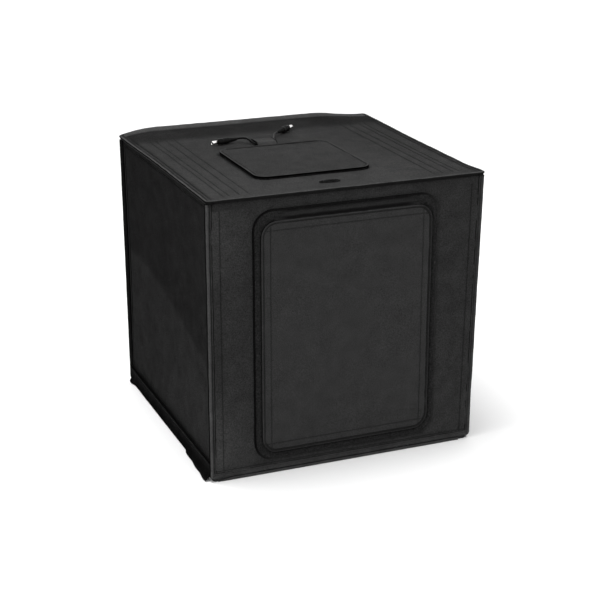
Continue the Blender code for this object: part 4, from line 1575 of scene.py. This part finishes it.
TAB_X = (-0.035, -0.004)
TAB_FOOT_Z = 0.4009
TAB_SECTION = [
    (0.0458, 0.4008), (0.0488, 0.4009), (0.0502, 0.4022), (0.0530, 0.4050),
    (0.0560, 0.4057), (0.0648, 0.4059), (0.0735, 0.4057), (0.0765, 0.4050),
    (0.0793, 0.4022), (0.0807, 0.4009), (0.0837, 0.4008),
]


def make_tab():
    """Cloth tab arched over the cable port, sewn down in front and behind."""
    low_x, high_x = TAB_X
    fine = smooth_line([Vector((y, z, 0.0)) for y, z in TAB_SECTION], 4)
    columns = np.linspace(low_x, high_x, 19)
    points = []
    for x in columns:
        edge = min(x - low_x, high_x - x)
        hem = 0.0003 * math.exp(-(edge / 0.0022) ** 2)
        for spot in fine:
            arch = max(spot.y - TAB_FOOT_Z, 0.0) / 0.005
            sway = noise.noise(Vector((x * 60.0, spot.x * 60.0, 3.0))) * 0.0005 * arch
            points.append((x, spot.x, spot.y + sway + hem))
    width = len(fine)
    # Painted light: the tab's front is lit, its top less, and its rear painted in shade.
    shades = np.interp(range(width), (0, 5, 9, width // 2, width - 1),
                       (0.95, 0.95, 0.62, 0.56, 0.3))
    tab = add_mesh("cable_port_flap", points, row_faces(len(columns), width),
                   FINISH["smooth"], np.tile(shades, len(columns)))
    tab = thicken_both_ways(tab, 0.0009)
    fit(tab, "roof", "black_fabric", "cable_port_tab")
    for x, name in ((low_x + 0.0003, "tab_left_edge"), (high_x - 0.0003, "tab_right_edge")):
        line = [Vector((x, spot.x, spot.y + 0.0002)) for spot in fine]
        cord = tube(name, line, 0.0008, FINISH["binding"], tones=0.16)
        fit(cord, "roof", "black_fabric")
    sew("tab_stitches", "roof", [
        run_on("up", 0.4014, (low_x + 0.001, y), (high_x - 0.001, y), step=0.002)
        for y in (0.0472, 0.0823)])


# ---- Floor ----------------------------------------------------------------------------

# The strip along the floor's front edge: how far out, how high, and its tone, lighter on the
# bulge and painted shade at its foot and at its top, under the wall.
FLOOR_STRIP = ((0.0, 0.0, 0.05), (0.0012, 0.0, 0.30), (0.0018, 0.0012, 0.90),
               (0.0019, 0.0026, 1.00), (0.0015, 0.0040, 0.70), (0.0006, 0.0047, 0.06),
               (0.0, 0.0047, 0.04))


def make_floor():
    skin("floor", "down", FLOOR_BOX, 0.0, SKIRT, "wall", corner=0.004,
         relief=lambda us, vs: -np.abs(rumple(FLOOR_BOX, 29, 0.0002, 0.0002)(us, vs)))
    inner = inner_box(FLOOR_BOX, 0.0015)
    lining = cloth_panel(
        "floor_silver", "up", inner, 0.0048, 0.0, FINISH["silver"], cell=0.005,
        corner=0.003, relief=rumple(inner, 33, 0.00010, 0.00010), thickness=0.0005)
    fit(lining, "floor", "silver_lining", "floor_lining")
    cut_to(inner)
    points = []
    for x in np.linspace(-0.1900, 0.1820, 96):
        taper = float(smooth_step(x, -0.192, -0.168))
        wave = max(noise.noise(Vector((x * 28.0, 1.0, 2.0))) * 0.0004, -0.0001)
        for out, height, tone in FLOOR_STRIP:
            ripple = wave * (height > 0.001)
            points.append((x, height * (0.35 + 0.65 * taper) + ripple,
                           out * (0.5 + 0.5 * taper)))
    strip = skin_between("floor_front_edge", "front", END_Y, points, FINISH["binding"],
                         [tone for out, height, tone in FLOOR_STRIP])
    fit(strip, "floor", "black_fabric")
    for side in ("left", "right"):
        make_base_flap(side)


FLAP_LOOSE = {"left": 0.0072, "right": 0.0008}  # how far its front end hangs off the wall
FLAP_LUMP = 0.0030
FLAP_FACE_X = 0.1998
FLAP_ROW_Z = 0.0235


def make_base_flap(side):
    """The flap sewn to the floor that laps the foot of a side wall."""
    hand = -1.0 if side == "left" else 1.0
    ys = np.linspace(-0.1927, 0.1927, 130)
    rows = np.linspace(0.0, 1.0, 17)
    points = []
    for y in ys:
        loose = 0.55 + 0.45 * float(smooth_step(-y, 0.090, 0.180))
        spread = float(smooth_step(-y, 0.086, 0.094)) * loose * FLAP_LOOSE[side]
        spread += float(smooth_step(y, 0.172, 0.184)) * FLAP_LUMP
        for row in rows:
            foot = float(1.0 - smooth_step(row, 0.0, 0.30))
            wave = noise.noise(Vector((y * 30.0, row * 1.5, 4.0 + hand)))
            fine = noise.noise(Vector((y * 85.0, row * 3.0, 8.0 + hand)))
            out = FLAP_FACE_X + spread * foot * (0.8 + 0.5 * wave)
            out += 0.0004 * wave * (1.0 - row) + 0.0002 * fine
            lift = 0.0011 * max(fine, 0.0) * foot * (spread > 0.001)
            points.append((hand * out, y, 0.0012 + 0.0255 * row + lift))
    # Tones from foot to top: a light lip at the foot, darker low down, lighter higher up, and
    # painted shade along the top, under the wall.
    shades = np.interp(rows, (0.0, 0.10, 0.45, 0.85, 0.96, 1.0),
                       (0.9, 0.30, 0.38, 0.74, 0.7, 0.2))
    flap = add_mesh(side + "_foot_flap", out_of_true(np.array(points)),
                    row_faces(len(ys), len(rows)), FINISH["flap"], np.tile(shades, len(ys)))
    flap = thicken_both_ways(flap, 0.0009)
    fit(flap, "floor", "black_fabric", side + "_base_flap")
    sew(side + "_flap_stitches", "floor", [
        run_on(side, FLAP_FACE_X + 0.0006, (-0.190, FLAP_ROW_Z), (0.190, FLAP_ROW_Z))])


# ---- Cloth hinges ---------------------------------------------------------------------

def hinge_cloth(name, axis, reach, profile, finish, tones=None):
    strip = bent_strip(name, axis, -reach, reach, profile, FINISH[finish],
                       thickness=0.0004, wave=0.0001, tones=tones)
    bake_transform(strip)


def make_hinges():
    for hand, wall in ((-1.0, "front_wall"), (1.0, "back_wall")):
        profile = [(hand * 0.1997, 0.3974), (hand * 0.1992, 0.3958), (hand * 0.1988, 0.3935),
                   (hand * 0.1986, 0.3900), (hand * 0.1984, 0.3850)]
        name = wall.replace("_wall", "_hinge_cloth")
        # Their tones paint shade under the roof's overhang, darkest at the top.
        hinge_cloth(name, "x", 0.1915, profile,
                    "wall", (0.20, 0.22, 0.34, 0.42, 0.48))
    for hand, side in ((-1.0, "left"), (1.0, "right")):
        profile = [(hand * 0.1911, 0.3860), (hand * 0.1909, 0.3920), (hand * 0.1900, 0.3938),
                   (hand * 0.1880, 0.3946), (hand * 0.1820, 0.3947)]
        hinge_cloth(side + "_top_hinge_cloth", "y", 0.188, profile,
                    "silver")
    profile = [(-0.1909, 0.0140), (-0.1908, 0.0085), (-0.1900, 0.0066), (-0.1880, 0.0056),
               (-0.1820, 0.0054)]
    hinge_cloth("left_foot_hinge_cloth", "y", 0.188, profile,
                "silver")


# ---- Light bars -----------------------------------------------------------------------

def repaint(node, finish):
    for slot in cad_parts[node].material_slots:
        slot.material = FINISH[finish]


BAR_FINISHES = {"tape": "hook", "channel": "aluminium", "led_strip": "led_board",
                "diffuser": "diffuser", "front_cap": "cap", "rear_cap": "cap"}


def make_light_bars():
    for side in ("left", "right"):
        for part, finish in BAR_FINISHES.items():
            repaint(f"{side}_bar_{part}", finish)
        low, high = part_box(side + "_bar_led_strip")
        middle = (low[0] + high[0]) / 2
        run = [(middle, y, low[2] - 0.0002)
               for y in np.linspace(low[1] + 0.004, high[1] - 0.004, 40)]
        chips = stitch(side + "_bar_chips", [(run, (0.0, 0.0, -1.0))], 0.0083, 0.0030,
                       0.0012, tree=CHIPS)
        fit(chips, "roof", "led_board")
    for part in ("floor", "front", "back", "roof", "door", "hatch"):
        repaint(part + "_board", "board")
    for part in ("door", "hatch"):
        repaint(part + "_hook_tape", "hook")


# ---- Leads and plugs ------------------------------------------------------------------

CORD_D = 0.0032
PLUG_RELIEF = 0.014
PLUG_BODY = 0.019
PLUG_BARREL = 0.0105
PLUG_R = 0.0048
BARREL_R = 0.00275
BORE_R = 0.00125

LEFT_LEAD = (
    (-0.0200, 0.0580, 0.3976), (-0.0260, 0.0580, 0.4002), (-0.0315, 0.0588, 0.4020),
    (-0.0363, 0.0620, 0.4034), (-0.0393, 0.0685, 0.4056), (-0.0420, 0.0760, 0.4076),
    (-0.0465, 0.0838, 0.4072), (-0.0528, 0.0893, 0.4056),
)
LEFT_PLUG_TIP = (-0.0960, 0.0775, 0.4053)
RIGHT_LEAD = (
    (-0.0200, 0.0662, 0.3976), (-0.0140, 0.0670, 0.4002), (-0.0085, 0.0690, 0.4020),
    (-0.0030, 0.0728, 0.4027), (0.0015, 0.0795, 0.4031), (0.0055, 0.0885, 0.4039),
    (0.0105, 0.0985, 0.4050), (0.0184, 0.1068, 0.4053),
)
RIGHT_PLUG_TIP = (0.0523, 0.1352, 0.4053)
LEFT_BAR_LEAD = (
    (-0.1530, 0.1436, 0.3889), (-0.1530, 0.1500, 0.3892), (-0.1510, 0.1570, 0.3904),
    (-0.1450, 0.1630, 0.3918), (-0.1340, 0.1660, 0.3928), (-0.1200, 0.1630, 0.3931),
    (-0.1000, 0.1500, 0.3931), (-0.0780, 0.1280, 0.3931), (-0.0580, 0.1000, 0.3931),
    (-0.0460, 0.0800, 0.3931), (-0.0390, 0.0692, 0.3931), (-0.0310, 0.0660, 0.3932),
    (-0.0260, 0.0660, 0.3946), (-0.0203, 0.0662, 0.3973),
)
RIGHT_BAR_LEAD = (
    (0.1530, 0.1436, 0.3889), (0.1530, 0.1500, 0.3892), (0.1510, 0.1570, 0.3904),
    (0.1450, 0.1630, 0.3918), (0.1340, 0.1660, 0.3928), (0.1180, 0.1620, 0.3931),
    (0.0920, 0.1440, 0.3931), (0.0620, 0.1180, 0.3931), (0.0340, 0.0900, 0.3931),
    (0.0140, 0.0700, 0.3931), (0.0020, 0.0610, 0.3931), (-0.0090, 0.0580, 0.3932),
    (-0.0140, 0.0580, 0.3946), (-0.0197, 0.0580, 0.3973),
)


def ring(centre, first, second, radius, sides):
    """Points round a circle in the plane of two directions."""
    angles = [2 * math.pi * k / sides for k in range(sides)]
    return [centre + (first * math.cos(a) + second * math.sin(a)) * radius for a in angles]


def tube(name, line, radius, material, sides=10, tones=None):
    """A round strip along a line of points, closed at both ends."""
    side = None
    points = []
    for index, spot in enumerate(line):
        ahead = line[min(index + 1, len(line) - 1)] - line[max(index - 1, 0)]
        ahead.normalize()
        if side is None:
            side = ahead.orthogonal().normalized()
        side = (side - ahead * side.dot(ahead)).normalized()
        points += ring(spot, side, ahead.cross(side), radius, sides)
    faces = row_faces(len(line), sides, around=True) + end_faces(len(line), sides)
    return face_outwards(add_mesh(name, points, faces, material, tones))


def lead_curve(name, route):
    line = smooth_line([Vector(point) for point in route], 8)
    data = bpy.data.curves.new(name, "CURVE")
    data.dimensions = "3D"
    data.bevel_depth = CORD_D / 2
    data.bevel_resolution = 4
    data.use_fill_caps = True
    spline = data.splines.new("POLY")
    spline.points.add(len(line) - 1)
    for point, spot in zip(spline.points, line):
        point.co = (*spot, 1.0)
    spline.use_smooth = True
    data.materials.append(FINISH["rubber"])
    lead = bpy.data.objects.new(name, data)
    bpy.context.scene.collection.objects.link(lead)
    length = sum((b - a).length for a, b in zip(line, line[1:]))
    return lead, line, length


def turned(name, profile, start, along, material, sides=40):
    """A section of (radius, distance) turned about a direction from start."""
    side = along.orthogonal().normalized()
    other = along.cross(side)
    points = []
    for radius, distance in profile:
        points += ring(start + along * distance, side, other, radius, sides)
    faces = row_faces(len(profile), sides, around=True)
    return face_outwards(add_mesh(name, points, faces, material))


def plug_body_profile():
    """Strain relief with ribs, then a grip with finger grooves, ending at the barrel."""
    profile = [(0.0001, 0.0), (0.0021, 0.0), (0.0023, 0.0003)]
    ribs = 6
    for rib in range(ribs):
        start = 0.0006 + (PLUG_RELIEF - 0.0012) * rib / ribs
        width = (PLUG_RELIEF - 0.0012) / ribs
        radius = 0.0024 + (0.0038 - 0.0024) * rib / (ribs - 1)
        profile += [(radius, start + width * 0.08), (radius, start + width * 0.60),
                    (radius - 0.0004, start + width * 0.70),
                    (radius - 0.0004, start + width * 0.96)]
    base = PLUG_RELIEF
    profile += [(0.0040, base - 0.0002), (0.0046, base + 0.0004), (PLUG_R, base + 0.0012)]
    for groove in range(4):
        at = base + 0.0032 + 0.0022 * groove
        profile += [(PLUG_R, at), (PLUG_R - 0.00035, at + 0.0004),
                    (PLUG_R - 0.00035, at + 0.0010), (PLUG_R, at + 0.0014)]
    end = base + PLUG_BODY
    profile += [(PLUG_R, base + 0.0130), (PLUG_R - 0.0002, end - 0.0018),
                (PLUG_R - 0.0006, end - 0.0006), (PLUG_R - 0.0012, end - 0.0001),
                (0.0001, end - 0.0001)]
    return profile


def make_plug(side, lead_end, tip):
    tip = Vector(tip)
    along = Vector((tip.x - lead_end.x, tip.y - lead_end.y, 0.0)).normalized()
    start = tip - along * (PLUG_BARREL + PLUG_BODY + PLUG_RELIEF)
    body = turned(side + "_plug_grip", plug_body_profile(), start, along, FINISH["rubber"])
    fit(body, "roof", "cord_rubber", side + "_plug_body")
    barrel_start = tip - along * PLUG_BARREL
    barrel = turned(side + "_plug_sleeve", [
        (0.0001, 0.0002), (BARREL_R, 0.0002), (BARREL_R, PLUG_BARREL - 0.0004),
        (BARREL_R - 0.0003, PLUG_BARREL), (0.0021, PLUG_BARREL),
        (0.0020, PLUG_BARREL - 0.0006), (0.0020, 0.0012), (0.0001, 0.0012),
    ], barrel_start, along, FINISH["metal"])
    fit(barrel, "roof", "plug_metal", side + "_plug_barrel")
    liner = turned(side + "_plug_liner", [
        (0.00195, 0.0014), (0.00195, PLUG_BARREL - 0.0007), (BORE_R, PLUG_BARREL - 0.0007),
        (BORE_R, 0.0016), (0.0001, 0.0016), (0.0001, 0.0014), (0.00195, 0.0014),
    ], barrel_start, along, FINISH["rubber"])
    fit(liner, "roof", "cap_plastic")
    return [body, barrel, liner]


KEEPERS = {"left": ((-0.0890, 0.1392), -45.0), "right": ((0.0770, 0.1312), 40.9)}
KEEPER_ARCH = ((-7.0, 0.4), (-4.6, 0.4), (-3.8, 1.2), (-3.4, 2.4), (-2.2, 3.4), (0.0, 3.7),
               (2.2, 3.4), (3.4, 2.4), (3.8, 1.2), (4.6, 0.4), (7.0, 0.4))


def make_keeper(side):
    """The sewn strap that holds an inner lead up against the roof's lining."""
    (x, y), heading = KEEPERS[side]
    along = Vector((math.cos(math.radians(heading)), math.sin(math.radians(heading)), 0.0))
    across = Vector((-along.y, along.x, 0.0))
    arch = smooth_line([Vector((w * MM, drop * MM, 0.0)) for w, drop in KEEPER_ARCH], 3)
    points = []
    for share in np.linspace(-1.0, 1.0, 9):
        for spot in arch:
            fray = noise.noise(Vector((spot.x * 300.0, share * 2.0, x * 50.0))) * 0.0003
            place = Vector((x, y, 0.3945 - spot.y)) + across * spot.x
            points.append(place + along * (share * (0.0038 + fray)))
    strap = add_mesh(side + "_lead_strap", points, row_faces(9, len(arch)), FINISH["smooth"])
    strap = thicken_both_ways(strap, 0.0006)
    fit(strap, "roof", "black_fabric", side + "_lead_keeper")


def make_leads():
    for side, route, tip in (("left", LEFT_LEAD, LEFT_PLUG_TIP),
                             ("right", RIGHT_LEAD, RIGHT_PLUG_TIP)):
        lead, line, length = lead_curve(side + "_lead_cord", route)
        fit(lead, "roof", "cord_rubber", side + "_lead")
        pieces = make_plug(side, line[-1], tip)
        tuple(line[0])
    for side, route in (("left", LEFT_BAR_LEAD), ("right", RIGHT_BAR_LEAD)):
        line = smooth_line([Vector(point) for point in route], 6)
        lead = tube(side + "_inner_lead", line, CORD_D / 2, FINISH["rubber"], 14)
        fit(lead, "roof", "cord_rubber", side + "_bar_lead")
        make_keeper(side)


# ---- Put together ---------------------------------------------------------------------

make_camera()
FINISH = make_materials()
STITCHING = path_tree("stitches", FINISH["thread"], "thread")
CHIPS = path_tree("chips", FINISH["chip"], "chip")
PILE = pile_tree(FINISH["pile"])
make_leads()
make_side("left")
make_side("right")
make_front()
make_back()
make_door()
make_roof()
make_hatch()
make_floor()
make_hinges()
make_light_bars()
make_stage()
make_lights()

[[list(map(float, corner)) for corner in box] for box in (cad_box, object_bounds())]
